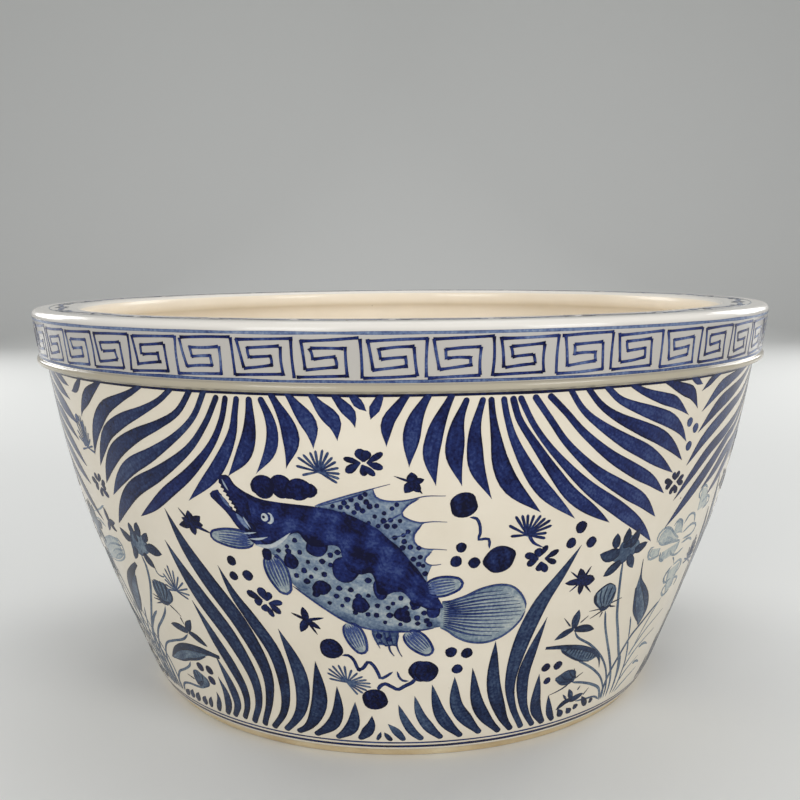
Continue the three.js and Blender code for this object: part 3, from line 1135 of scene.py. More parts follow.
upper = []
for panel in range(PANELS):
    # where the first panel's neighbours are drawn by themselves, the row of leaves starts
    # or stops short
    rows = UPPER_LEAVES[7:] if panel == 1 else UPPER_LEAVES
    rows = rows[:-9] if panel == PANELS - 1 else rows
    upper += [frond(row, panel, 0.86, 0.12 + 0.3 * (row[-3] < -44)) for row in rows]
upper += [frond(row, 0, 0.86, 0.3) for row in RIGHT_NEIGHBOUR + LEFT_NEIGHBOUR]
lay("upper_fronds", upper, wall, cobalt)

# %% [markdown]
# ## Fronds from the foot
# The lower bundles spring from the foot line and lean outwards on both sides of the fish.
# Their roots are broad and round, because the brush lands there with its full belly, and
# between the bundles stand short single dabs.

# %% Rows of the lower fronds
LOWER_LEAVES = [
    (-38.6, 11.7, -37.7, 16, -36.9, 20.5, -36.9, 24.8, 3.3),
    (-36.2, 11.7, -34.8, 18, -34.2, 26, -34.8, 35.5, 4.4),
    (-34.2, 12, -32.9, 16.8, -32, 22.2, -32.2, 33, -33.4, 49, 5),
    (-31.6, 12.5, -29.7, 21.8, -29.2, 32.4, -30.4, 46.2, -32.1, 59.1, -34.5, 79, 6),
    (-29.4, 11.7, -26.7, 25.8, -26.2, 41.8, -28.4, 62.2, -31.9, 80.8, -34.2, 94.9,
     -36.3, 109.5, 9.2),
    (-27, 11.7, -24.2, 28.5, -23.2, 46.9, -25.6, 70.8, -29.6, 92.4, -32.4, 108.7,
     -34.6, 126, 9.4),
    (-25, 11.5, -21.8, 22.9, -20.4, 37.3, -20.6, 56.7, -23.3, 74.7, -25.5, 87.5,
     -27, 101.5, 7.4),
    (-22.4, 11.7, -19.9, 18.8, -18, 27.4, -17, 40.1, -17.3, 53, -19.1, 71.8, 7.4),
    (-19.9, 12, -17.6, 16.1, -15.9, 22.1, -14.5, 31.3, -14, 41.1, -13.9, 56, 7.5),
    (-16.4, 11.8, -13.1, 18.3, -11.7, 24.4, -11.1, 31.6, -10.9, 42.5, 6.1),
    (-12.3, 11.4, -9.9, 16.3, -8.7, 22, -8.1, 34, 6),
    (-8.1, 11.6, -6.8, 15.2, -5.7, 20.5, -5.4, 26.2, 5.4),
    (-4.8, 11.5, -4.5, 13, -4.2, 15, -4, 16.8, 2),
    (-2.1, 11.2, -2.5, 12.5, -3, 14.5, -3.4, 16.4, 2.8),
    (0.2, 11.3, -0.6, 14.5, -1.6, 18.2, -2.7, 21.6, 3.9),
    (3.5, 11.7, 1.6, 17, 0.1, 25, -0.8, 33, 4.5),
    (7, 12, 4.7, 18.6, 2.9, 27, 1.9, 38, 5.3),
    (10.6, 12.2, 7.8, 20.3, 6, 29.5, 4.7, 44.3, 6),
    (14.1, 13, 11.2, 22, 9, 32, 8.3, 48, 6.8),
    (17.9, 12, 14.6, 22.2, 12.5, 33.5, 11.1, 52.3, 6),
    (20.3, 12, 18.4, 18.9, 17, 26.6, 15.5, 37.4, 14.7, 48.8, 14.3, 66, 7.2),
    (22.4, 12, 19.6, 26, 18.1, 41.6, 18.6, 62, 20.5, 82.7, 23, 96.9, 25.5, 110.8, 8.2),
    (24.9, 11.8, 22.8, 19.9, 21.3, 29.2, 20.3, 43.4, 20.8, 56, 22.3, 75.5, 6),
    (27.1, 11.7, 24.9, 19.9, 24.1, 26.4, 23.8, 33.1, 23.4, 43.3, 5.8),
    (29.4, 11.7, 28.2, 16.4, 27.4, 21.5, 26.6, 28.8, 3.6),
]
FOOT_DABS = [
    (-49.3, 12, -46.9, 17.3, 3.2), (-47, 12.3, -45.2, 19, 3.3), (-45.2, 12, -43.2, 19, 3.5),
    (-42.8, 12, -41.2, 18.6, 3.6), (-40.9, 12, -39.2, 20, 2.9), (31.4, 12.6, 29.8, 18.4, 3.2),
    (33.5, 13.2, 32, 17.2, 3), (34.8, 15, 33.8, 18, 3.1), (37.5, 14.2, 35.2, 21.8, 3.2),
    (38.9, 15.2, 38, 18, 2.8),
]

# %% Paint the lower fronds
PALE_ROOTS = (3.5, 7, 0.2)


def lower_frond(row, panel):
    """One leaf of a lower bundle. The three whose roots are listed as pale are weaker."""
    strength = 0.7 if row[0] in PALE_ROOTS else 0.85
    return frond(row, panel, strength, 0.62, RISING)


def dab(row, panel):
    """One short press of the brush between the bundles."""
    return stroke(on_panel(row[:4], panel), row[4] * 1.1,
                  lambda s: leaf(s, 0.6, 0.4, 0.7, 0.15), 0.88, 0.6, step=1.2)


lower = [lower_frond(row, panel) for panel in range(PANELS) for row in LOWER_LEAVES]
lower += [dab(row, panel) for panel in range(PANELS) for row in FOOT_DABS
          if panel != 1 or row[0] > -40]
lay("lower_fronds", lower, wall, cobalt)

# %% [markdown]
# ## The fish
# A mandarin fish swims across the panel. It is painted in four layers: a weak wash for the
# whole body and the fins, a dark mass for the back whose lower edge runs in lobes, spots and
# thin lines over both, and the pale places of mouth, gill and eye, where the white of the
# ground was left. Each layer has its own lift. The body's two edges are drawn with the same
# number of points, so the rungs between them follow the fish.

# %% Wash and dark back
BODY_TOP = [(-19.5, 120), (-17.3, 122), (-14.4, 123), (-11, 122), (-8, 120), (-5, 114),
            (-2, 107), (1, 99), (3.4, 93), (5.7, 86)]
BODY_BELLY = [(-18.9, 113.2), (-17.6, 109), (-16.6, 104), (-15.3, 96.3), (-13, 89.8),
              (-10, 82.5), (-6.5, 76.9), (-2, 74.3), (2, 74.4), (5.5, 76)]
BACK_TOP = [(-20.3, 138.7), (-18.5, 136.3), (-16.5, 135.4), (-15, 135), (-13.5, 134.7),
            (-12.5, 134.5), (-11.7, 134.3), (-10.3, 133.8), (-9, 133.2), (-8.2, 132.5),
            (-7.2, 131.6), (-6, 130), (-4.5, 127.4), (-3, 124.4), (-2.2, 121.8),
            (-1.5, 119.5), (-0.7, 117.2), (0, 114.5), (0.8, 111), (1.5, 108), (2.3, 104.7),
            (3.2, 100), (4.3, 95), (5.8, 86.5)]
BACK_LOBES = [(-19.6, 118), (-18.2, 114.4), (-16.2, 116.6), (-14.8, 120.4), (-13.6, 121.6),
              (-12.9, 118.5), (-12, 116), (-10.6, 115.6), (-9.2, 116.6), (-8.2, 115.4),
              (-7.9, 111), (-7.2, 105), (-5.6, 103), (-4.2, 103.7), (-3.6, 99), (-3.4, 94),
              (-2.2, 93), (-1.2, 94.3), (0, 94.3), (1, 91), (1.4, 88), (2.6, 87), (4, 85),
              (5.8, 86)]
LOBES = [(-11.3, 115.4, 4.8, 4.7, 15), (-7.6, 105, 6.1, 6.4, -20), (-2.9, 96, 3.5, 5.6, 0),
         (1.9, 88.8, 2.7, 3.4, 0), (4.4, 84.2, 3.2, 3.5, 0)]
WASH, DARK, LINES, OVER, LIGHT, PUPIL = 0.08, 0.14, 0.2, 0.25, 0.3, 0.35


def fish_body(panel):
    """Wash of the body, dark back, and the lobes that hang from it."""
    at = exact(panel)
    lobes = at([lobe[:2] for lobe in LOBES])
    return [
        wash(at(matched(BODY_TOP)), at(matched(BODY_BELLY)), 0.37, 0.55, WASH, 13, 0.1),
        wash(at(matched(BACK_TOP)), at(matched(BACK_LOBES)), 0.86, 0.0, DARK, 15, 0.11),
        *[spot(*place, *lobe[2:], 0.86, lift=DARK - 0.03)
          for place, lobe in zip(lobes, LOBES)],
    ]


# %% [markdown]
# ## Head and jaws
# The long jaws gape, with a saw of teeth on both. The teeth are simply the jagged edge of the
# dark, so those edges are kept as straight lines from point to point.

# %% Head, jaws and eye
HEAD_TOP = [(-23.5, 145.7), (-22.8, 146), (-22.3, 144.9), (-21.8, 142), (-20.9, 139.8),
            (-20.3, 138.7), (-19.5, 137.3), (-18, 136)]
HEAD_TEETH = [(-24, 144.3), (-24.1, 142), (-23.75, 141.2), (-23.95, 140), (-23.45, 139.4),
              (-23.65, 138.2), (-23.15, 137.5), (-23.3, 136.4), (-22.85, 135.8),
              (-23, 134.6), (-22.55, 134), (-22.7, 132.9), (-22.25, 132.2), (-22.4, 131.1),
              (-22.05, 130.5), (-22.2, 129.6), (-22, 126), (-21.7, 122.5), (-21.3, 120.3),
              (-20.4, 119.6), (-19.5, 118.6)]
JAW_OUTER = [(-24.6, 138.7), (-25.3, 138), (-25.8, 136.6), (-25.7, 135), (-24.9, 132.6),
             (-24.3, 130.8), (-23.7, 128.8), (-23.2, 126.6), (-22.8, 124.4), (-22.4, 122.4),
             (-22, 121), (-21.2, 120.2)]
CHEEK = ([(-21.4, 120.4), (-20.7, 116.4), (-19.7, 114)],
         [(-17, 121.4), (-16.4, 118), (-17.8, 114.2)])
JAW_TEETH = [(-24.4, 138.7), (-24.25, 137.4), (-23.95, 136.7), (-23.95, 135.4),
             (-23.55, 134.9), (-23.55, 133.5), (-23.05, 133.1), (-23.1, 131.7),
             (-22.65, 131.3), (-22.6, 130.1), (-22.1, 129.2), (-21.2, 123)]


def fish_head(panel):
    """Upper jaw with the forehead, lower jaw, the pale lines in the mouth, and the eye."""
    at = exact(panel)
    top = walk(curve_through(at(HEAD_TOP)), np.linspace(0, 1, len(HEAD_TEETH)))

    def line(points, width, strength, lift=LIGHT):
        return stroke(at(points), width, pointed, strength, 0.1, lift, step=2)

    return [
        wash(top, at(HEAD_TEETH), 0.95, lift=DARK, columns=9),
        wash(at(JAW_OUTER), at(JAW_TEETH), 0.9, lift=DARK + 0.02, columns=5),
        wash(at(matched(CHEEK[0])), at(matched(CHEEK[1])), (0.92, 0.7), lift=DARK - 0.02,
             columns=5),
        stroke(at([(-25.2, 136.8), (-24.9, 135.6), (-24.5, 134.2)]), 2.6, pointed, 1.0,
               lift=LINES),
        line([(-24.2, 136.5), (-23.6, 133.6), (-22.9, 130.8)], 1.7, 0.55, LINES),
        line([(-23.5, 144), (-23.2, 141.5), (-22.8, 139)], 0.9, 0.3),
        line([(-22.2, 128.6), (-21.5, 125.6), (-20.6, 121.4)], 2.6, 0.45, LINES),
        line([(-21.2, 127.4), (-20.8, 124.8), (-20.3, 122.2)], 0.9, 0.22),
        line([(-20.8, 124.6), (-20.0, 122.6), (-19.5, 121)], 3.4, 1.0, LINES),
        line([(-21.5, 119.5), (-20.6, 119.8), (-19.6, 120.4)], 0.9, 0.2),
        line([(-20.7, 117.1), (-19.3, 117.4), (-18, 118.7)], 1.1, 0.18),
        line([(-20, 114.4), (-17.8, 114.3), (-16.2, 117.2), (-14.7, 121.4)], 2.2, 0.12),
        spot(*at((-17.35, 127.6))[0], 2.0, 2.6, 0, 0.14, lift=LIGHT - 0.03),
        spot(*at((-17.75, 127.9))[0], 2.0, 2.3, 0, 0.85, lift=LIGHT - 0.01),
        spot(*at((-18.02, 128.0))[0], 1.7, 1.9, 0, 0.1, lift=LIGHT + 0.02),
        spot(*at((-18.15, 128.1))[0], 0.7, strength=1.0, lift=PUPIL),
    ]


# %% [markdown]
# ## Spots of the fish
# A mandarin fish is speckled all over. Each speck is one touch of the brush's tip, so they
# are uneven in size, and none is quite round.

# %% Spots on the flank
FLANK_SPOTS = [
    (-14.2, 118.1), (-15.4, 115), (-16.7, 112.6), (-15.3, 112.5), (-17.1, 109.6),
    (-13.7, 112.5), (-12.7, 108.1), (-13.4, 103.8), (-14.6, 101), (-13.2, 98.5),
    (-12.5, 100.9), (-11.7, 104.9), (-10.7, 108.7), (-9.6, 107.2), (-10.6, 102.4),
    (-9.5, 111.9), (-8.5, 113.3), (-8.7, 95.9), (-7.1, 95.3), (-9.2, 91.8), (-7.7, 90.3),
    (-6.1, 92.2), (-4.7, 92.6), (-10.3, 88.1), (-8.5, 87.1), (-6.7, 83.8), (-4.9, 83),
    (-3.5, 87.5), (-2, 86.5), (-1.3, 88.7), (-0.2, 91.4), (0.5, 86.4), (-3.7, 82.6),
    (-1.8, 82.6), (-2.5, 78.9), (-0.3, 77.9), (2.1, 81.1), (2.2, 78.2), (3.5, 79.5),
    (3.9, 77.6), (3.1, 83.6), (-4.6, 100.2), (1.6, 86.4),
]
FLANK_BLOTS = [(-15.1, 107.9, 3.2, 3.9), (-11.2, 95.7, 4.2, 3.7), (-12.1, 92.4, 1.8, 1.7),
               (-5.9, 87.7, 3.9, 4.1), (-0.1, 83, 3.4, 3.6), (0.6, 80.6, 2.1, 2.0)]


def fish_spots(panel):
    """Specks and blots over the wash of the flank."""
    at = exact(panel)
    return [*[spot(*at(place)[0], hand.uniform(0.95, 1.5), lift=LINES, uneven=0.14)
              for place in FLANK_SPOTS],
            *[spot(*at(blot[:2])[0], *blot[2:], 10, 0.97, lift=LINES, uneven=0.1)
              for blot in FLANK_BLOTS]]


# %% [markdown]
# ## Back fin
# The back fin is a wash with a scalloped edge and a spine drawn out from each point of it.

# %% Back fin
FIN_EDGE = [
    (-11, 134.4), (-9, 136.7), (-7, 139.1), (-5, 141.2), (-3.6, 142.7), (-3.3, 139.4),
    (-2.4, 137.6), (-0.9, 137), (1, 137.7), (2.2, 138.5), (1, 136.5), (0.2, 133.5),
    (0, 131.3), (0.6, 129.3), (1.8, 127.7), (3, 127.3), (2.2, 125.5), (1.6, 122.5),
    (1.6, 119), (2.2, 116.5), (3.2, 115.2), (4.2, 114.8), (3.4, 112.8), (3, 110.5),
    (3.2, 108.6), (4, 107.3), (3.7, 105), (3.4, 102), (3.4, 99.5),
]
FIN_ROOT = [(-11, 134.2), (-9, 133), (-7, 131), (-5, 128), (-3.3, 124.7), (-2, 120.7),
            (-0.5, 116.2), (0.8, 110.7), (2, 105.7), (3.2, 99.5)]
FIN_SPINES = [
    [(-11, 134.4), (-7, 139.2), (-3, 143.2), (-1.4, 144.7)],
    [(-3.5, 142.6), (-3.3, 139.4), (-2.4, 137.6), (-0.9, 137), (1, 137.7), (3, 139.2),
     (5.5, 139.1)],
    [(2.2, 138.2), (0.8, 135.4), (0, 131.5), (0.8, 129), (2.3, 127.4), (4, 127.7),
     (5.8, 127.3)],
    [(2.6, 126.6), (1.6, 122), (1.7, 118), (2.8, 115.4), (4.5, 114.9), (5.9, 114.4)],
    [(3.9, 113.8), (3, 110.5), (3.3, 108), (4.2, 107.3), (5.2, 107.7)],
    [(-4.6, 140.6), (-7.5, 137.4), (-10.4, 134.5)],
    [(0, 131.6), (-1.6, 128.6), (-3, 126.2)], [(1.2, 123.6), (0, 121.6), (-1.6, 120.4)],
]
FIN_SPOTS = [
    (-8.7, 134.7), (-7.7, 134.2), (-6.8, 134.4), (-7.2, 136.3), (-6.3, 137.7),
    (-5.1, 138.7), (-4.5, 140.2), (-5.6, 135.5), (-5.5, 134.1), (-4.9, 132.8),
    (-4.4, 136.8), (-6, 132), (-7.3, 131.3), (-4, 134.8), (-3.1, 135.1), (-3.4, 130.3),
    (-2.2, 131.8), (-1.2, 133.9), (-0.6, 135.6), (-4.2, 127.4), (-2.3, 128.4),
    (-1.4, 128.7), (-0.2, 128.3), (-3, 126), (-1.9, 125.9), (-0.9, 125.9), (0.8, 123.4),
    (0.2, 121.7), (-0.9, 120.6), (0.3, 118.8), (1.1, 116.2), (0.1, 115.9), (2.2, 115.7),
    (1.5, 110.5), (2.4, 111.4), (2.2, 108), (2.8, 107.2), (3.1, 103.4),
]


def back_fin(panel):
    """Scalloped wash, its spines and its specks."""
    at = exact(panel)
    root = walk(curve_through(at(FIN_ROOT)), np.linspace(0, 1, len(FIN_EDGE)))
    spines = [stroke(at(points), 0.8, tapering, 0.68, lift=LINES, step=2)
              for points in FIN_SPINES]
    return [wash(at(FIN_EDGE), root, 0.42, 0.45, WASH, 5), *spines,
            *[spot(*at(p)[0], hand.uniform(0.95, 1.35), lift=LINES) for p in FIN_SPOTS]]


# %% [markdown]
# ## Paired fins and tail
# The paired fins are ovals: a wash, ribs drawn along it, and an outline. The tail is a broad
# wash whose rays fan from its root.

# %% Paired fins
PAIRED_FINS = [((-20.2, 116.2), (-27, 116.6), 8.8), ((-18.1, 110.2), (-16.5, 91.1), 10.4),
               ((3.2, 95.6), (8.3, 98), 9.6), ((-7.9, 78), (-6, 62), 8.6),
               ((0.6, 73.8), (4.3, 61.6), 8.8)]
OVAL_STEPS = 15
RIB_SHARES = (-0.62, -0.3, 0.02, 0.34, 0.64)


def oval(s):
    """Width of a paired fin: it starts at 0.3, is full near the middle and closes at the end."""
    return (0.3 + 0.7 * np.sin(np.pi * s ** 0.8) ** 0.7) * (s < 1)


def oval_outline(start, end, width):
    """Both edges of an oval from its root to its end: the points of its axis, with half of
    the width, which swells and closes along it, laid off on either side."""
    s = np.linspace(0, 1, OVAL_STEPS)
    scale = np.array([degree_width(wall, (start[1] + end[1]) / 2), 1])
    along = (end - start) * scale
    aside = np.array([-along[1], along[0]]) / np.hypot(*along) / scale
    half = width / 2 * oval(s)
    axis = start + s[:, None] * (end - start)
    return axis + half[:, None] * aside, axis - half[:, None] * aside


def oval_fin(start, end, width, panel):
    """Wash, outline and ribs of one paired fin."""
    one, other = oval_outline(*on_panel([start, end], panel, 0), width)
    middle = (one + other) / 2
    ribs = [middle[1:-2] + share * (one - middle)[1:-2] for share in RIB_SHARES]
    return [wash(one, other, 0.28, 0.7, WASH + 0.02, 5),
            stroke(np.vstack([one, other[-2::-1]]), 1.15, drawn_line, 0.76, lift=LINES,
                   step=1.8),
            *[stroke(rib[::2], hand.uniform(1, 1.5), tapering, 0.6, lift=LINES, step=2.4)
              for rib in ribs]]


# %% Tail
TAIL_TOP = [(5.6, 89.2), (7, 89.2), (9, 91.5), (11, 94.5), (13.5, 95.9), (15.5, 94.5),
            (17, 90.5), (18, 85.5), (18.25, 82.2)]
TAIL_BOTTOM = [(5.5, 75.4), (6.5, 74), (8, 70.2), (10, 67.1), (12.5, 66), (14.5, 67.6),
               (16.3, 71), (17.7, 76), (18.25, 80.8)]
RAYS = 13
# degrees, lowest height and span of heights, for the roots of the rays and for their tips
RAY_ROOTS, RAY_TIPS = (5.9, 76.6, 11.6), (17.6, 69.4, 23.4)
OUTER_SHORTER, LOWER_SHORTER, RAY_BOW = 3.4, 0.7, 1.6


def tail(panel):
    """Wash of the tail, its rays, and the line round it. The outer rays and the lower ones
    are shorter, and all of them bow away from the middle."""
    at = exact(panel)
    v = np.linspace(0, 1, RAYS)
    root_at, root_low, root_span = RAY_ROOTS
    tip_at, tip_low, tip_span = RAY_TIPS
    reach = tip_at - OUTER_SHORTER * (2 * v - 1) ** 2 - LOWER_SHORTER * (v < 0.4)
    roots = np.stack([np.full(RAYS, root_at), root_low + root_span * v], 1)
    tips = np.stack([reach, tip_low + tip_span * v], 1)
    middles = (roots + tips) / 2 + np.stack([0 * v, RAY_BOW * (2 * v - 1)], 1)
    rays = [stroke(at([a, b, c]), hand.uniform(0.8, 1.4), tapering,
                   (0.78, hand.uniform(0.5, 0.62)), 0.2, LINES, step=3)
            for a, b, c in zip(roots, middles, tips)]
    edge = [stroke(at(points), 1.0, drawn_line, 0.68, 0.2, LINES, step=2.4)
            for points in (TAIL_TOP, TAIL_BOTTOM)]
    whole = wash(at(matched(TAIL_TOP)), at(matched(TAIL_BOTTOM)), (0.36, 0.22), 0.7, WASH, 11)
    return [whole, *rays, *edge]


# %% Belly line and the fin under it
BELLY_LINE = [(-15.4, 95.5), (-14, 92), (-12, 87), (-10, 82.4), (-8.5, 79.3), (-6.5, 76.6),
              (-4.5, 75), (-2, 74), (1, 74), (3, 74.7), (4.6, 75.5)]
UNDER_WASH = [(-4.6, 75), (-4.3, 70.6), (-3.8, 66.8)], [(-0.5, 74), (-0.7, 70), (-1.1, 66.4)]
UNDER_FIN = [[(-4.5, 74.5), (-4.1, 70), (-3.4, 65)], [(-3.7, 74.3), (-3.3, 70), (-2.8, 67)],
             [(-2.8, 74), (-2.5, 70), (-2.1, 66.6)], [(-2, 74), (-1.7, 70), (-1.4, 66.6)],
             [(-0.6, 73.6), (-0.8, 70), (-0.9, 66.8), (-0.6, 63.4), (-0.1, 60.4)],
             [(-2.1, 67), (-1.9, 63.6), (-1.3, 60.8)],
             [(-3.9, 67), (-3.2, 68.2), (-2.4, 66.2), (-1.7, 66.9), (-0.9, 66.2)]]


def fish_lines(panel):
    """Belly line, the small fin under it, and the dark touch where the chest fin joins."""
    at = exact(panel)
    under = [stroke(at(points), 1.1, tapering, 0.74, 0.2, LINES, step=2)
             for points in UNDER_FIN]
    one, other = [at(matched(edge)) for edge in UNDER_WASH]
    under.append(wash(one, other, (0.62, 0.5), 0.5, WASH))
    return [stroke(at(BELLY_LINE), 0.8, drawn_line, 0.74, lift=LINES, step=3), *under,
            spot(*at((-3.5, 71.6))[0], 1.5, strength=0.9, lift=LINES),
            spot(*at((-2, 70))[0], 1.3, strength=0.85, lift=LINES),
            spot(*at((-18.5, 110.3))[0], 2.4, 3, 0, 1.0, lift=OVER)]


# %% Lay the whole fish
fish = []
for panel in range(PANELS):
    fish += fish_body(panel) + fish_head(panel) + fish_spots(panel) + back_fin(panel)
    fish += tail(panel) + fish_lines(panel)
    fish += [m for fin in PAIRED_FINS for m in oval_fin(*fin, panel)]
lay("fish", fish, wall, cobalt, height=1)

# %% [markdown]
# ## Seeds and tendrils
# Round seeds and groups of dots float about the fish, some tied by thin tendrils.

# %% Seeds, dots and tendrils
SEEDS = [(7.85, 134.7, 6, 5.7), (13.2, 108.4, 7.2, 6.5), (-11, 63.7, 5.5, 5.4),
         (2.75, 52.1, 5.2, 5.9), (3.7, 51.9, 5.2, 5.9), (-4.7, 36, 6.1, 5.9)]
CLOUD = [(-17.7, 141.8, 5.4, 5.4), (-15.3, 142.4, 5, 5.4), (-13, 141.5, 6, 5),
         (-11.6, 141.2, 3.6, 3.3), (-18.6, 141.6, 3, 3.2), (-14.2, 140.6, 4.6, 3.6)]
DOTS = [(24.9, 119.7, 3), (23.7, 112.6, 2.6), (27.1, 111.5, 2.8), (7.8, 115.2, 2.4),
        (7.2, 108.7, 2.7), (9.7, 107.6, 2.7), (7.4, 62, 2.8), (9.9, 61, 2.8),
        (8.6, 52.5, 2.6), (24.4, 46.5, 2.4), (26.8, 46.2, 2.5), (25.4, 38.2, 2),
        (-24.4, 105, 2.5), (-24.6, 97.3, 2.3), (-22.2, 98.5, 2.7), (-39, 38, 2.6),
        (-36.6, 38, 2.6), (-37, 31.5, 2.6), (-6.9, 52.9, 1.15)]
PALE_DOTS = [(42.5, 161.5, 2.3), (44.3, 158, 2.4), (43.4, 149.8, 2.4)]
TENDRILS = [
    ([(8.7, 129), (9.6, 128.3), (10.1, 125), (10.2, 121), (10, 118.6), (11.4, 118.5),
      (11.6, 114)], 1.3),
    ([(-9.4, 60.3), (-8.4, 60.5), (-7.6, 58), (-7, 53), (-6.2, 54), (-5.4, 57.3),
      (-4.6, 55.5), (-3.9, 51), (-3.6, 48.3), (-2.8, 49.2), (-1.6, 52)], 1.6),
    ([(2, 48.5), (1.5, 46), (0.3, 44), (-0.8, 42), (-1.8, 43.5), (-2.9, 45.2),
      (-3.8, 43.5), (-4.1, 41)], 1.9),
    ([(-0.9, 52.3), (-0.6, 49), (0, 47), (0.9, 46.8)], 1.1),
]


def seeds_and_tendrils(panel):
    """Tilted seeds, the row that makes a cloud, dark and pale dots, and the tendrils. The
    panel beside the first one's right spray leaves out the dots that would meet it."""
    at, about = exact(panel), lambda place: on_panel(place, panel, 0.5)[0]
    dots = [s for s in DOTS if panel != 1 or s[0] > -36]
    return [*[spot(*about(s[:2]), *s[2:], 15, 0.97, 0.25) for s in SEEDS],
            *[spot(*at(s[:2])[0], *s[2:], 10, 0.97) for s in CLOUD],
            *[spot(*about(s[:2]), s[2] * 0.98, s[2], 0, 0.95, 0.25) for s in dots],
            *[spot(*about(s[:2]), s[2], s[2], 0, 0.68, 0.25) for s in PALE_DOTS],
            *[stroke(at(points), width, drawn_line, 0.78, 0.2, step=1.6)
              for points, width in TENDRILS]]


floating = [m for panel in range(PANELS) for m in seeds_and_tendrils(panel)]
lay("seeds", floating, wall, cobalt)

# %% [markdown]
# ## Sprigs
# Small sprigs fill the ground: clovers of four hearts, half suns of thin rays, and dark
# flowers with a few long petals. Each one is a set of petals from a centre, so one helper
# draws them all.

# %% Rows of the clovers
CLOVERS = [
    [((-4.95, 154), (-7, 155.8), 2.7, (-6.8, 149.8), 3.8),
     ((-4.55, 154.4), (-5.2, 159.9), 4.4, (-4, 159.2), 4.4),
     ((-4.15, 153.9), (-2.2, 158.3), 3, (-2.2, 151.5), 3.3),
     ((-4.75, 153), (-4.45, 148.2), 3.5, (-3.2, 148.4), 3)],
    [((-20.7, 86.2), (-23, 90.2), 4, (-22, 84.4), 4.2),
     ((-19.9, 86.4), (-20.8, 93), 5, (-19.2, 91), 3.5),
     ((-19.7, 85.2), (-17.5, 86.3), 3.3, (-18.1, 80.2), 3.6),
     ((-20.3, 84.4), (-20.7, 80.6), 4.2, (-19.4, 78), 3)],
    [((18.9, 107), (16.8, 109.6), 3.7, (17.3, 104.2), 3.7),
     ((19, 107.8), (18.5, 112), 4, (20, 113), 2.9),
     ((19.9, 106.6), (21.9, 110), 3, (21.8, 103.7), 2.8),
     ((19.4, 105.2), (19.2, 100.6), 3.8, (20.5, 99.8), 3.4)],
    [((41.3, 133.2), (39.3, 135), 3, (39.8, 131), 3.2),
     ((41.8, 134.2), (41, 138), 3.2, (42.5, 138.2), 3.2),
     ((42.3, 133), (43.9, 135.4), 2.8, (44.1, 131.4), 3),
     ((41.9, 131.6), (41.2, 127.4), 3.2, (42.9, 127.4), 3.2)],
    [((-51.5, 129.2), (-53.6, 131), 3.4, (-52.6, 126), 3.4),
     ((-50.9, 130.6), (-52, 134.4), 3.2, (-49.9, 134.8), 3.2),
     ((-50.2, 129.3), (-48.8, 131.8), 3, (-48.9, 128), 3),
     ((-50.6, 127.6), (-51.3, 123), 3.4, (-48.6, 124), 3.4)],
]

# %% Rows of the half suns
SUNS = [
    ((16.7, 119), [(14, 124.2), (14.8, 128.3), (15.7, 128.6), (16.5, 128.7), (17.4, 128.2),
                   (18.4, 127.8), (19.1, 126.2), (19.9, 125), (20.2, 122.4), (19.6, 119),
                   (19.5, 116.5), (14.4, 119)], 1.6, 0.86),
    ((-9.1, 45.2), [(-12.2, 50), (-11.9, 52.5), (-11.2, 54.3), (-10.2, 55), (-9.2, 54.6),
                    (-8.1, 52.6), (-7.2, 51), (-6.4, 49), (-5.8, 47.2), (-5.2, 45.2),
                    (-5.2, 43), (-5.9, 41), (-6.6, 39.4), (-7.5, 38.4), (-12, 46.8)], 1.2, 0.64),
    ((-10.15, 149.7), [(-12.7, 155.8), (-12, 157.1), (-11.1, 158.2), (-10.4, 159), (-9.5, 159.4),
                      (-8.8, 158.4), (-8.3, 156.2), (-7.9, 154.3), (-7.6, 151.6), (-7.5, 149),
                      (-7.6, 146.8), (-7.9, 144.9), (-13, 152), (-12.3, 148)], 1.35, 0.7),
    ((-37.6, 82), [(-40, 84), (-39.6, 87), (-39.5, 90.2), (-38.6, 93.4), (-37.7, 95.8),
                   (-36.7, 93.6), (-35.9, 90.8), (-35.2, 88), (-34.6, 85), (-34.6, 81.6),
                   (-35.2, 79), (-39.8, 81.4)], 1.15, 0.62),
    ((-51.6, 147.4), [(-54.5, 152), (-54.5, 155), (-54.1, 158.4), (-53.4, 161.2), (-52.7, 163),
                      (-52, 163.2), (-51.3, 161.4), (-50.7, 158.6), (-50.2, 155.4), (-50, 152.4),
                      (-49.7, 149), (-49.5, 146), (-54, 145.6)], 1.2, 0.6),
]

# %% Rows of the dark flowers
DARK_FLOWERS = [
    ((1.4, 145.2), [((1.2, 149.8), 4.6), ((2.8, 146.6), 3), ((2.3, 141), 4), ((0.4, 140.8), 4.6),
                    ((-0.9, 148.2), 1), ((2.6, 140.2), 1.4)]),
    ((-30, 120.6), [((-30.2, 127), 4.6), ((-28.2, 125), 4.2), ((-28, 120.8), 4.2),
                    ((-31.9, 127.6), 1.2), ((-32.4, 119), 4), ((-26.8, 117.2), 1.6),
                    ((-29.8, 115.2), 4.2), ((-31.6, 123), 3)]),
    ((-14.2, 78.2), [((-14.5, 85), 3.8), ((-15.4, 71.6), 4), ((-12.2, 74), 2.6),
                     ((-16.4, 81.4), 1.5), ((-11.5, 80), 1.6), ((-12.8, 70.8), 1.2)]),
    ((27, 92), [((26.2, 98.8), 4.2), ((29.4, 91.4), 6.2), ((27.2, 84.8), 3.4),
                ((24.1, 92.2), 3.6), ((24.6, 98), 1), ((28.1, 99), 1.4), ((29.3, 84.8), 1.1),
                ((25.2, 87.4), 0.9)]),
    ((-51.9, 109), [((-52.3, 116.5), 4), ((-49.6, 110), 3.6), ((-49.9, 105.2), 3),
                    ((-53.2, 103.6), 3)]),
]

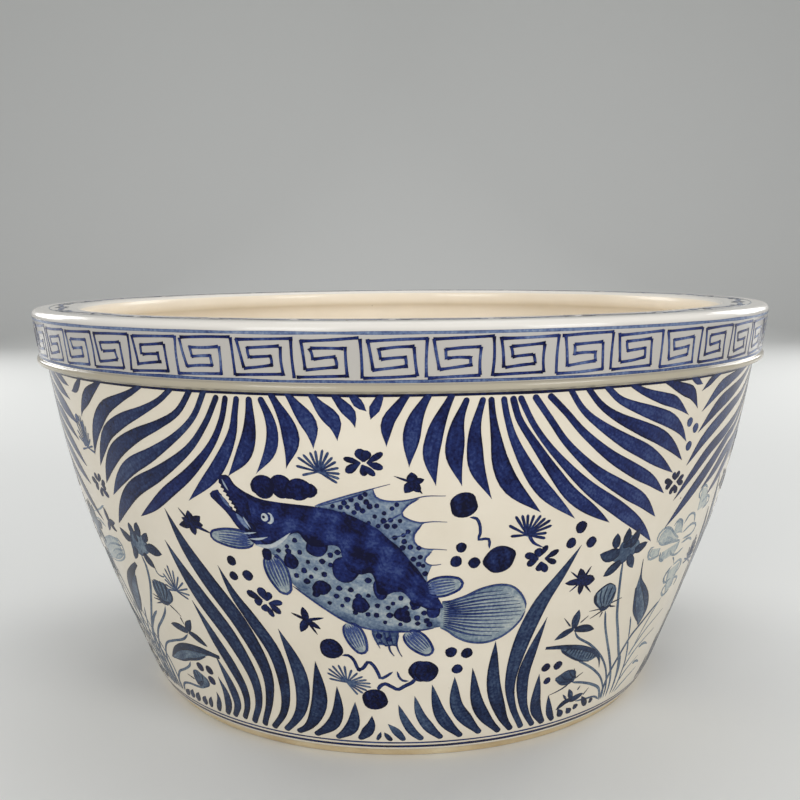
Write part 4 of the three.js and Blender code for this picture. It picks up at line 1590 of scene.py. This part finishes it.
# %% Paint the sprigs
SUN_STALK = [(16.9, 119.5), (17.8, 115), (19.3, 112.3)]
PETAL_LIFT, PETAL_OVER = 0.2, 0.006
DARK_SUN = 0.7


def petals(centre, tips, panel, strength, grey=0.2, shape=petal):
    """Petals from a centre to each tip, each of its own width and a little over the last."""
    middle, *ends = on_panel([centre, *[tip for tip, _ in tips]], panel, 0.3)
    return [stroke([middle, end], width, shape, strength + hand.uniform(-0.06, 0.05), grey,
                   PETAL_LIFT + PETAL_OVER * i, step=2, even=False)
            for i, (end, (_, width)) in enumerate(zip(ends, tips))]


def heart(start, one, one_wide, other, other_wide, panel):
    """One heart of a clover: two petals from one point."""
    return petals(start, [(one, one_wide), (other, other_wide)], panel, 0.95)


def half_sun(centre, ends, width, strength, panel):
    """Thin rays from a centre, over a pale spot in the darker suns."""
    rays = petals(centre, [(end, width) for end in ends], panel, strength, 1.1 - strength, club)
    if strength < DARK_SUN:
        return rays
    middle = on_panel((centre[0] + 0.2, centre[1] + 2), panel, 0)[0]
    return [*rays, spot(*middle, 2, 3, strength=0.4, grey=0.4, lift=0.15)]


sprigs = []
for panel in range(PANELS):
    # the last sprig of each list stands at the left edge, and only the first panel has it
    last = None if panel == 0 else -1
    clovers = CLOVERS[:3] if panel == PANELS - 1 else CLOVERS[:last]
    sprigs += [m for hearts in clovers for row in hearts for m in heart(*row, panel)]
    sprigs += [m for row in SUNS[:last] for m in half_sun(*row, panel)]
    sprigs += [m for centre, tips in DARK_FLOWERS[:last]
               for m in petals(centre, tips, panel, 0.95, shape=almond)]
    sprigs.append(stroke(exact(panel)(SUN_STALK), 1.8, tapering, 0.85))
lay("sprigs", sprigs, wall, cobalt)

# %% [markdown]
# ## Sprays between the panels
# From one root at the foot, thin stalks fan out on each side of a panel and carry a star
# flower, striped pods, trefoils and long leaves. The painter used a weaker, greyer cobalt
# here. A pod or a leaf is a wash between two edges with darker marks over it, and every
# other mark is one row: its points in degrees and millimetres, then its width.

# %% Marks from rows
STALK, SHADE, HEAD = 0.12, 0.17, 0.22
FINE = HEAD + 0.04
SPRAY_GREY, SPRAY_SHAKE = 0.7, 0.2


def drawn(rows, panel, shape=drawn_line, strength=0.62, lift=STALK, step=2.6):
    """One mark for each row, all carried to the same panel."""
    return [stroke(on_panel(row[:-1], panel, SPRAY_SHAKE), row[-1], shape,
                   strength + hand.uniform(-0.04, 0.04), SPRAY_GREY, lift, step=step)
            for row in rows]


def shaded(pairs, panel, strength, lift=SHADE, mottle=0.05):
    """Washes, each between its two edges."""
    def edge(row):
        return on_panel(matched(np.reshape(row, (-1, 2))), panel, SPRAY_SHAKE)

    return [wash(edge(one), edge(other), strength, SPRAY_GREY, lift, mottle=mottle)
            for one, other in pairs]


# %% Stalks and washes of the right spray
RIGHT_STALKS = [
    (34.3, 98, 34.8, 90, 35.8, 79, 37.2, 67, 38.8, 58, 41, 46.5, 43.2, 36, 44.6, 25,
     45, 14, 1.6),
    (33.8, 72, 35, 63, 36.8, 53.5, 39, 43.5, 41.3, 33, 42.9, 24, 43.6, 14, 1.44),
    (28.3, 64.5, 29.5, 60, 32.5, 54.5, 35.3, 48, 37.8, 41, 40, 33, 41.9, 23, 42.8, 14, 1.2),
    (31, 46, 33.2, 42.3, 36, 37, 39, 29.8, 41.2, 21.5, 42.2, 14, 1.2),
    (31.3, 33.2, 34, 31, 37, 27.5, 39.8, 22.5, 41.4, 14, 1.44),
    (33.8, 20, 36.5, 19.2, 39.2, 18.2, 41, 15, 1.12),
    (50.2, 64.5, 48, 60, 45.8, 54.5, 44, 49.5, 42.6, 40, 41.5, 30, 41.3, 20, 41.8, 14, 1.76),
    (41.4, 63, 42.3, 57.5, 43.5, 49, 0.96),
    (43.6, 48, 45, 40, 46.1, 31, 46.3, 20, 45.8, 14, 1.12),
    (43, 40, 44.4, 31, 44.9, 22, 0.96),
]
RIGHT_SHADES = [
    ((31.5, 100, 32.6, 104.5, 33, 108, 34.4, 111),
     (34.2, 96.5, 36.6, 101, 37, 105.5, 35.4, 110.5)),
    ((33.1, 72.5, 31.4, 76, 30.5, 80, 30.6, 83.8, 31.7, 86.6, 32.8, 87),
     (33.9, 72.5, 34.7, 76, 34.9, 80, 34.7, 83.4, 33.9, 86, 32.9, 87.2)),
    ((31.6, 33.2, 30, 33.4, 28.3, 34.8, 27.2, 37),
     (31.8, 35.5, 31.3, 40, 29.3, 41.6, 27.1, 38.6)),
    ((26.2, 56.8, 29, 55.3, 33, 51.4, 35, 47, 36, 44),
     (26.5, 55, 28.5, 50.5, 31, 46, 33.8, 43.8, 35.6, 45)),
    ((39.7, 88, 40.6, 82.5, 42.8, 77, 44.6, 69.5, 45.7, 62, 45.2, 55.5),
     (39.8, 80, 40.8, 72.5, 41.8, 66, 43, 61.5, 44.2, 58, 44.8, 55.5)),
]

# %% Heads and fine marks of the right spray
RIGHT_HEADS = [
    (33, 103.3, 31, 102.5, 29.2, 104.3, 6.6), (32.3, 106, 31.8, 109.5, 31.7, 113.4, 5),
    (33.6, 107.5, 33.9, 111, 33.8, 115, 4.6), (34.8, 105, 35.6, 108.5, 36, 113.4, 5.4),
    (36.2, 102.5, 37.4, 103, 38.8, 105, 5), (35.2, 100.5, 36, 97, 37, 92.8, 4.6),
    (33.8, 98, 32.6, 95.5, 31, 92, 5.6), (33.4, 106, 34.6, 107, 35.8, 109, 4),
    (28.1, 66, 27.9, 71, 28, 76.3, 4.6), (28, 66, 26.6, 64.5, 24.7, 61.6, 3.6),
    (28.2, 65.5, 30.2, 64.8, 32.5, 62.8, 4.4), (32.5, 22, 32, 25, 31.1, 29.3, 2.9),
    (32.2, 21.8, 33.8, 22.4, 35.3, 23.6, 4), (32.4, 22, 31, 21.6, 29.4, 18, 3.4),
    (31.2, 23, 30.6, 25, 30, 26.8, 1.2),
    (23.4, 57.9, 27, 56.4, 31, 53.4, 34.5, 48.4, 36.4, 43, 37.4, 37, 2.8),
    (39.1, 96, 39.6, 90, 40.4, 84, 42.4, 77.6, 44.4, 70.5, 45.8, 62.5, 45.2, 54.5, 3.8),
    (39.8, 80, 40.8, 72.5, 41.8, 66, 43.4, 60.5, 44.6, 57, 2),
]
RIGHT_FINE = [
    (30.5, 83.5, 30.9, 78.5, 32.3, 74.5, 1.8), (31.5, 85.6, 31.7, 80, 32.8, 74.5, 1.1),
    (32.6, 86.5, 32.5, 80, 33.2, 74.5, 1.1), (33.7, 85.5, 33.4, 80, 33.5, 74.5, 1.1),
    (34.7, 82.5, 34.3, 78, 33.8, 74.5, 1.3), (30.5, 83.5, 32.6, 87.2, 34.3, 85.2, 1.1),
    (32.4, 75, 33.3, 73.3, 34.6, 74.8, 3.2), (33.4, 73.8, 30.2, 74, 0.8),
    (33.2, 72.8, 30.8, 69.6, 0.8), (33.2, 72, 32.9, 69, 0.8), (34.4, 75.6, 36.8, 77, 0.8),
    (34.4, 74, 35.9, 73, 1), (27.2, 67.6, 25.5, 73.2, 0.9), (29, 68.6, 30.3, 71.6, 0.7),
    (31.3, 34, 29, 34, 27.2, 37.4, 2.6), (31.4, 35, 29.6, 36, 28.1, 39.8, 1.4),
    (31.6, 35.4, 30.5, 38, 29.8, 41, 1.1), (31.8, 35.6, 31.2, 38.5, 30.8, 41.6, 1.2),
    (30.6, 32.8, 29, 30.5, 26.8, 28.8, 1), (31.7, 35, 33.3, 37.6, 0.8),
    (26.6, 54.8, 28.6, 50.4, 31, 46.2, 33.8, 43.6, 1.4), (29, 54.3, 28.4, 51.6, 0.9),
    (30.2, 53.4, 29.8, 49.4, 0.9), (31.6, 51.8, 31.2, 47.2, 0.9), (33, 49.6, 32.6, 45.4, 0.9),
    (34.4, 47.6, 33.8, 44.6, 0.9), (28.2, 54.8, 27.4, 52.4, 0.9),
    (29.6, 54, 29.1, 50.4, 0.9), (30.9, 52.6, 30.5, 48.2, 0.9), (32.3, 50.8, 31.9, 46.2, 0.9),
    (33.7, 48.6, 33.2, 44.8, 0.9), (35, 46.6, 34.6, 44.6, 0.9),
    (33.4, 27, 33.8, 29.2, 1), (35.4, 22.4, 36.4, 26, 0.7),
]


# %% Paint the right sprays
def right_spray(panel):
    """Stalks, washes, dark heads and fine marks. The large leaf is the last of the shades and
    the last two of the heads. Only the first panel has it, as the next spray's leaf takes
    its place on the rest."""
    heads = RIGHT_HEADS[:-2] + RIGHT_HEADS[-1:] * (panel == 0)
    edge = RIGHT_HEADS[-2:-1] * (panel == 0)
    shades = RIGHT_SHADES[2:] if panel == 0 else RIGHT_SHADES[2:-1]
    return [*drawn(RIGHT_STALKS, panel, strength=0.58), *shaded(RIGHT_SHADES[:1], panel, 0.58),
            *shaded(RIGHT_SHADES[1:2], panel, 0.48), *shaded(shades, panel, 0.6),
            *shaded(RIGHT_SHADES[2:3], panel, 0.7, SHADE + 0.01),
            *drawn(heads, panel, almond, 0.82, HEAD, 2),
            *drawn(edge, panel, lambda s: leaf(s, 0.12, 0.6, 0.5), 0.82, HEAD, 2),
            *drawn(RIGHT_FINE, panel, tapering, 0.84, FINE, 1.8)]


lay("right_sprays", [m for panel in range(PANELS) for m in right_spray(panel)], wall, cobalt)

# %% Stalks and washes of the left spray
LEFT_STALKS = [
    (-44, 97, -43.7, 91, -44.5, 82, -46.2, 73, -48.7, 62.5, -51.5, 52, -54, 42, -55.5, 30,
     -54.5, 14, 1.76),
    (-42.6, 70, -43.6, 65.5, -46, 59, -49, 52, -51.5, 43, -53, 32, -53, 14, 1.52),
    (-38.9, 57, -41, 52.5, -45, 48.3, -48, 44.3, -50.4, 37, -51.8, 28, -51.8, 14, 1.36),
    (-41.6, 39, -42.6, 35.5, -45, 31.5, -47.8, 27.5, -49.8, 21, -50.6, 14, 1.36),
    (-40.2, 24.4, -42.5, 23.3, -45.5, 22.6, -48, 20, -49.6, 14, 1.44),
    (-55.4, 60, -56.4, 50, -57.3, 38, -57, 26, -55.6, 14, 1.92),
    (-51.6, 62, -53.6, 52, -55.6, 42, -56.6, 30, 1.12),
    (-41.3, 92, -41, 89, -40, 88, -39.4, 88.6, 0.8),
]
LEFT_SHADES = [
    ((-46.2, 98, -45.9, 103, -45, 109), (-43.6, 96.5, -41, 101, -41.6, 108.5)),
    ((-42.8, 71, -43.9, 76, -43.9, 81, -42.9, 84.7),
     (-41.6, 71, -39.6, 75, -39.2, 79.5, -40.3, 84.4)),
    ((-33.6, 48.5, -38, 49.6, -42.6, 47, -46, 41.6, -48, 36.4),
     (-35.8, 47, -38, 43.6, -41, 40.8, -44, 37.5, -47.6, 35.8)),
    ((-42.2, 25, -42.5, 29, -41.9, 33.4, -40.9, 34.8),
     (-40.4, 24, -38.4, 27, -38.2, 31, -40.3, 34.6)),
    ((-47.4, 89, -49.5, 85, -52.2, 79, -54.5, 71.5, -55.6, 62, -55.6, 57),
     (-47.2, 88.4, -48.9, 83.5, -50.2, 76.5, -51.4, 69, -53, 61.5, -54.9, 57)),
]

# %% Heads and fine marks of the left spray
LEFT_HEADS = [
    (-45.4, 104.4, -46.8, 105, -48.2, 108.6, 4.8), (-44.4, 107.5, -44.5, 110, -44.7, 113.4, 4.4),
    (-42.9, 107.5, -42.7, 110.5, -42.3, 115, 5.2), (-41.9, 105.5, -41.2, 107.5, -40.4, 110.6, 4),
    (-41.8, 102, -40.2, 102.2, -38.1, 100.9, 6), (-43, 98.6, -42.4, 95.5, -41.1, 91.6, 4.8),
    (-44.8, 100.3, -45.6, 97, -46.5, 93.2, 4.4), (-43.6, 104, -43.9, 107, -43.4, 110, 3),
    (-38.6, 58.8, -40.6, 59.8, -42.9, 60, 4.6), (-38.6, 58.8, -37.9, 62.5, -36.7, 66.6, 4.2),
    (-38.4, 58.6, -36.8, 56.8, -34.7, 53, 4),
    (-32.6, 48.3, -37, 49.4, -41.4, 48, -45, 43.4, -48.2, 36, 4.2),
    (-36.3, 46.2, -38.6, 42.9, -41.6, 40.3, -44, 37.8, -47, 36.2, 1.6),
    (-47, 90, -50, 84, -52.8, 77.6, -54.8, 70, -55.8, 61, -55.4, 54, 4.6),
    (-49.2, 82, -50.6, 74.5, -51.8, 67, -53.4, 60.5, -54.8, 56, 1.6),
]
LEFT_FINE = [
    (-43.5, 84, -43.4, 79, -42.7, 74, 1.6), (-42.4, 84.8, -42.4, 79, -42.3, 74, 1.4),
    (-41.3, 84.8, -41.4, 79, -41.9, 74, 1.4), (-40.2, 83.6, -40.4, 79, -41.5, 74, 1.4),
    (-43.6, 74, -42.3, 72, -40.8, 73.4, 3.4), (-43, 73.6, -45.2, 75, 1),
    (-43, 72.8, -45.3, 72.6, 1), (-43, 72, -45, 69.8, 1), (-41, 72, -39.6, 69.2, -38.9, 67, 0.8),
    (-39.2, 66.5, -38.9, 62.6, 0.9), (-41.8, 25, -40.8, 26.6, -39.8, 29, 3),
    (-41.9, 33, -41.4, 29, 1), (-40.8, 34.4, -40.6, 29.6, 1), (-39.4, 33, -39.9, 29, 1),
    (-42.6, 27.6, -44.6, 29, 0.8),
]


# %% Paint the left sprays
def left_spray(panel):
    """The same on a panel's left side."""
    return [*drawn(LEFT_STALKS, panel, strength=0.6), *shaded(LEFT_SHADES[:1], panel, 0.56),
            *shaded(LEFT_SHADES[1:], panel, 0.6),
            *drawn(LEFT_HEADS, panel, almond, 0.84, HEAD, 2),
            *drawn(LEFT_FINE, panel, tapering, 0.84, FINE, 1.8)]


# the second panel has none: the first one's right spray and pale weeds fill that place
lay("left_sprays", [m for panel in (0, 2, 3) for m in left_spray(panel)], wall, cobalt)

# %% [markdown]
# ## Pale waterweed
# At both ends of the first panel hangs a cluster of round petals in the weakest wash, only
# outlined, with thin shoots below it.

# %% Rows of the pale clusters and shoots
CLUSTERS = [
    (41.4, 103, 41.3, 107, 42.6, 109.6, 44.3, 108.4, 46.2, 104, 48, 101, 1.2),
    (41.8, 103, 43.2, 100.6, 46, 100, 49, 99, 1.2), (43.9, 104.4, 46, 101.4, 47.6, 99.6, 1),
    (41, 101, 40.1, 100.3, 40.1, 97, 41, 94.3, 43.4, 95, 1.2),
    (45.1, 109, 46, 111.7, 47.4, 110.2, 48.2, 105.6, 1.2), (43.5, 96.4, 44, 92, 45.4, 90.4, 1.2),
    (46.4, 95.6, 47.6, 92.2, 49.6, 91, 51.6, 93, 1.2),
    (48.4, 108, 49.6, 112, 51.6, 111, 52.6, 106, 1.2),
    (49, 103, 51.6, 105.6, 54, 103.6, 53.4, 99.6, 50, 99, 1.2),
    (50, 96.6, 52.6, 97.4, 54.6, 95, 1.2), (49.6, 84.5, 48.2, 80, 49.2, 75.4, 51.4, 76, 1.4),
    (50, 84.8, 52.6, 85.6, 54, 81, 52.4, 76.6, 1.4),
    (50.8, 74.5, 49.6, 70.6, 51, 66.8, 53, 68.6, 1.4),
    (53, 75.6, 55.2, 73.4, 54.8, 69.4, 1.3), (52, 118.6, 51, 121.6, 52.4, 125.4, 54.2, 123, 1.3),
    (53, 116, 55.6, 118, 57, 114.4, 54.6, 111.6, 1.3),
]
SHOOTS = [
    (46, 36, 47.6, 43, 50, 50, 54.4, 56.4, 1.4), (46.2, 28, 48, 36.5, 50.6, 42, 54, 45.4, 1.4),
    (46.2, 20, 48, 26.5, 51.2, 31.6, 1.3), (46.6, 14, 49.4, 19, 53, 23, 1.3),
    (49.6, 38, 51.6, 38.6, 54, 36, 2.4), (50, 28, 51.6, 28, 53.2, 26, 2.2),
    (50.6, 66, 49, 58, 47.6, 48, 46.6, 36, 1.3), (48.6, 90, 49.4, 88, 50, 85.6, 1),
]
LEFT_WEED = [
    (-50.6, 99.8, -54, 99.4, -57.6, 96.4, -60.6, 91, 1.4),
    (-50.2, 97.4, -53.6, 96.2, -57.4, 92.6, -60, 87, 1.3),
    (-50.2, 95, -53.6, 93, -56.8, 88.8, 1.3), (-50.6, 92.4, -53.6, 90, -56, 86, 1.3),
    (-51, 101.4, -49.9, 97.6, -50.4, 92, -52.4, 88, -55.6, 85, -59.6, 83.4, 1.3),
    (-52, 117.6, -55, 113.6, -59, 110, 1.2), (-54.6, 104.6, -57, 107, -60, 106, 1.3),
    (-57.6, 60, -58.6, 48, -60.4, 38, 1.4), (-57.6, 26, -60, 34, -62, 42, 1.3),
    (-57, 18, -60, 23, -62.6, 30, 1.3),
]

# %% Wash and paint the pale weeds
PALE_WASHES = [
    ((41.6, 103, 42.2, 107.6, 44, 108.4, 47.6, 101),
     (42.2, 102.4, 44, 100.8, 46, 100.4, 48.6, 99.4)),
    ((40.6, 100, 40.4, 97, 41.4, 94.8), (43, 99, 43, 97, 43.2, 95.4)),
    ((45.6, 108.6, 46.2, 111, 47.6, 109), (45.8, 104, 47.4, 104, 48.8, 103)),
    ((44, 96, 44.2, 92.4, 45.2, 91), (49, 98.6, 49, 95, 48.4, 92)),
    ((48.9, 82, 49.6, 76.6, 51.4, 68), (53, 84.4, 53.2, 78, 53.6, 70)),
    ((51.8, 124, 52, 119, 52.4, 112), (54, 123, 55.4, 118, 56, 113)),
]
LEFT_WASHES = [((-51, 101, -55, 99.6, -60, 92), (-50.6, 92, -54, 87, -59.4, 84))]

pale = [*drawn(CLUSTERS, 0, drawn_line, 0.34, STALK + 0.02), *drawn(SHOOTS, 0, tapering, 0.42),
        *drawn(LEFT_WEED, 0, tapering, 0.36), *shaded(PALE_WASHES, 0, 0.15, 0.08, 0.02),
        *shaded(LEFT_WASHES, 0, 0.2, 0.08, 0.02)]
lay("pale_weeds", pale, wall, cobalt)

# %% [markdown]
# ## Floor and soft light
# The bowl stands on a pale floor that sweeps up behind it. Light Path gives the floor two
# greys: the camera and the mirrorings in the glaze see the pale one, and the light that the
# floor throws back comes from the darker one, so the floor doesn't wash out the cobalt. Two
# soft lamps stand low in front, where the outward-leaning wall doesn't mirror them, a third
# hangs above, and two weak ones behind keep the back from going dark.

# %% Sweep
SWEEP_FRONT, SWEEP_TURN, SWEEP_BEND, SWEEP_TOP, SWEEP_SIDE = -6.0, 2.2, 1.2, 5.0, 7.0
SWEEP_LIGHTS, SWEEP_SHOWS = (180, 182, 180), (229, 230, 228)


def sweep():
    """Floor that turns up into a wall: a straight run, a quarter circle, then straight up."""
    turn = np.linspace(0, np.pi / 2, 16)
    bend = SWEEP_TURN + SWEEP_BEND * np.sin(turn)
    run = np.concatenate([[SWEEP_FRONT], bend, bend[-1:]])
    rise = np.concatenate([[0.0], SWEEP_BEND * (1 - np.cos(turn)), [SWEEP_TOP]])
    side = np.array([-SWEEP_SIDE, SWEEP_SIDE])
    grid = np.broadcast_arrays(side[None], run[:, None], rise[:, None])
    place = np.stack(grid, -1).reshape(-1, 3)
    i = np.arange(len(run) - 1)[:, None] * 2
    faces = i + np.array([[0, 1, 3, 2]])
    mesh = bpy.data.meshes.new("sweep")
    mesh.from_pydata(place.tolist(), [], faces.tolist())
    mesh.polygons.foreach_set("use_smooth", np.ones(len(faces), bool))
    floor = bpy.data.objects.new("sweep", mesh)
    bpy.context.scene.collection.objects.link(floor)
    material, tree, shader = finish_named("sweep", 0.9)
    path = add(tree, "LightPath").outputs
    seen = sums(tree, "ADD", path["Is Camera Ray"], path["Is Glossy Ray"])
    seen = sums(tree, "ADD", seen, path["Is Transmission Ray"])
    tone = blend_colours(tree, seen, seen_colour(*SWEEP_LIGHTS), seen_colour(*SWEEP_SHOWS))
    tree.links.new(tone, shader.inputs["Base Color"])
    shader.inputs["Specular IOR Level"].default_value = 0.1
    mesh.materials.append(material)


sweep()

# %% Lamps and world
LAMP_AIM = (0, 0, 0.1)
LAMPS = [
    # name, place, size in metres, watts
    ("key", (-1.3, -2.2, 0.64), 1.1, 29), ("fill", (1.7, -1.6, 0.6), 1.0, 24),
    ("top", (0.1, 0.5, 2.2), 1.6, 14), ("back_left", (-1.7, 1.3, 0.8), 1.0, 16),
    ("back_right", (1.7, 1.3, 0.8), 1.0, 16),
]
WORLD_STRENGTH = 0.33


def soft_lamp(name, place, size, watts):
    """Square area lamp at a place, turned to face the aim."""
    data = bpy.data.lights.new(name, "AREA")
    data.shape = "SQUARE"
    data.size = size
    data.energy = watts
    lamp = bpy.data.objects.new(name, data)
    lamp.location = place
    way = Vector(LAMP_AIM) - Vector(place)
    lamp.rotation_euler = way.to_track_quat("-Z", "Y").to_euler()
    bpy.context.scene.collection.objects.link(lamp)


for lamp_row in LAMPS:
    soft_lamp(*lamp_row)
world = bpy.data.worlds.new("studio")
world.use_nodes = True
background = world.node_tree.nodes["Background"].inputs
background["Color"].default_value = (1, 1, 1, 1)
background["Strength"].default_value = WORLD_STRENGTH
bpy.context.scene.world = world
bpy.context.scene.view_settings.view_transform = "Standard"
